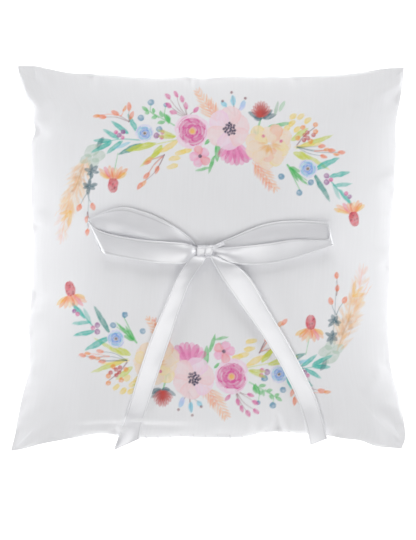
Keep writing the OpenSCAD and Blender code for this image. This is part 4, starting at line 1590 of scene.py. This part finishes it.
def add_light(name, place, size, power, tint):
    data = bpy.data.lights.new(name, "AREA")
    data.shape = "RECTANGLE"
    data.size, data.size_y = size
    data.energy = power
    data.color = tint
    light = add_object(name, data)
    light.location = place
    light.rotation_euler = (Vector(LIGHT_AIM) - Vector(place)).to_track_quat("-Z", "Y").to_euler()


def add_studio():
    """Four soft lights, an even white surround and a plain pale floor."""
    add_light("left_softbox", (-0.75, 0.02, 0.24), (0.5, 0.3), 1.75, COOL)
    add_light("right_softbox", (0.75, 0.02, 0.24), (0.5, 0.3), 1.7, COOL)
    add_light("front_softbox", (0.0, -0.59, 0.91), (1.2, 1.0), 6.1, WHITE)
    add_light("back_softbox", (0.0, 0.84, 0.5), (0.9, 0.4), 3.2, WHITE)
    world = bpy.data.worlds.new("studio")
    world.use_nodes = True
    background = world.node_tree.nodes["Background"]
    background.inputs["Color"].default_value = (1, 1, 1, 1)
    background.inputs["Strength"].default_value = 0.145
    bpy.context.scene.world = world
    mesh = bpy.data.meshes.new("floor")
    corners = [(-1, -1), (1, -1), (1, 1), (-1, 1)]
    mesh.from_pydata([(x * FLOOR_HALF, y * FLOOR_HALF, FLOOR_Z) for x, y in corners], [], [[0, 1, 2, 3]])
    mesh.materials.append(paper_floor())
    floor = add_object("floor", mesh)
    bpy.context.scene.view_settings.view_transform = "Standard"


# ---- assembly ----

FRONT_CELLS = 448
BACK_CELLS = 224


def paint_print(obj):
    """Writes the print's colour at each point of the front cover."""
    mesh = obj.data
    places = np.empty(len(mesh.vertices) * 3)
    mesh.vertices.foreach_get("co", places)
    places = places.reshape(-1, 3)[:, :2] / MM
    colour = wreath_colour(places)
    layer = mesh.color_attributes.new("print", "FLOAT_COLOR", "POINT")
    layer.data.foreach_set("color", np.concatenate([colour, np.ones((len(colour), 1))], 1).ravel())


def build_pillow():
    printed, plain = cover_satin("printed_satin", True), cover_satin("plain_satin", False)
    satin, thread = ribbon_satin(), sewing_thread()
    moved = relaxed_cover()
    front, front_grid = cover_piece(
        "front_cover", 1, FRONT_CELLS, moved[0], "front_panel", printed
    )
    paint_print(front)
    back_grid = cover_piece("back_cover", -1, BACK_CELLS, moved[1], "back_panel", plain)[1]
    filling_piece(moved, polyester_fibre())
    crown = Crown(front_grid)
    seam_stitches(front_grid, thread)
    ladder_stitches(front_grid, back_grid, thread)
    centre_tack(crown, back_grid, thread)
    ribbon_base_piece(crown, satin)
    knot_piece(crown, satin)
    knot_core(crown, satin)
    curl_piece(crown, satin)
    for name, node, stations, reach, held, seed in (
        ("left_loop", "left_bow_loop", LEFT_LOOP, 3.0, "folded", 41),
        ("right_loop", "right_bow_loop", RIGHT_LOOP, 3.0, "folded", 42),
        ("left_tail", "left_ribbon_tail", LEFT_TAIL, 4.0, "draped", 43),
        ("right_tail", "right_ribbon_tail", RIGHT_TAIL, 4.0, "draped", 44),
    ):
        bow_piece(name, node, stations, crown, satin, seed)


build_pillow()
add_camera()
add_studio()
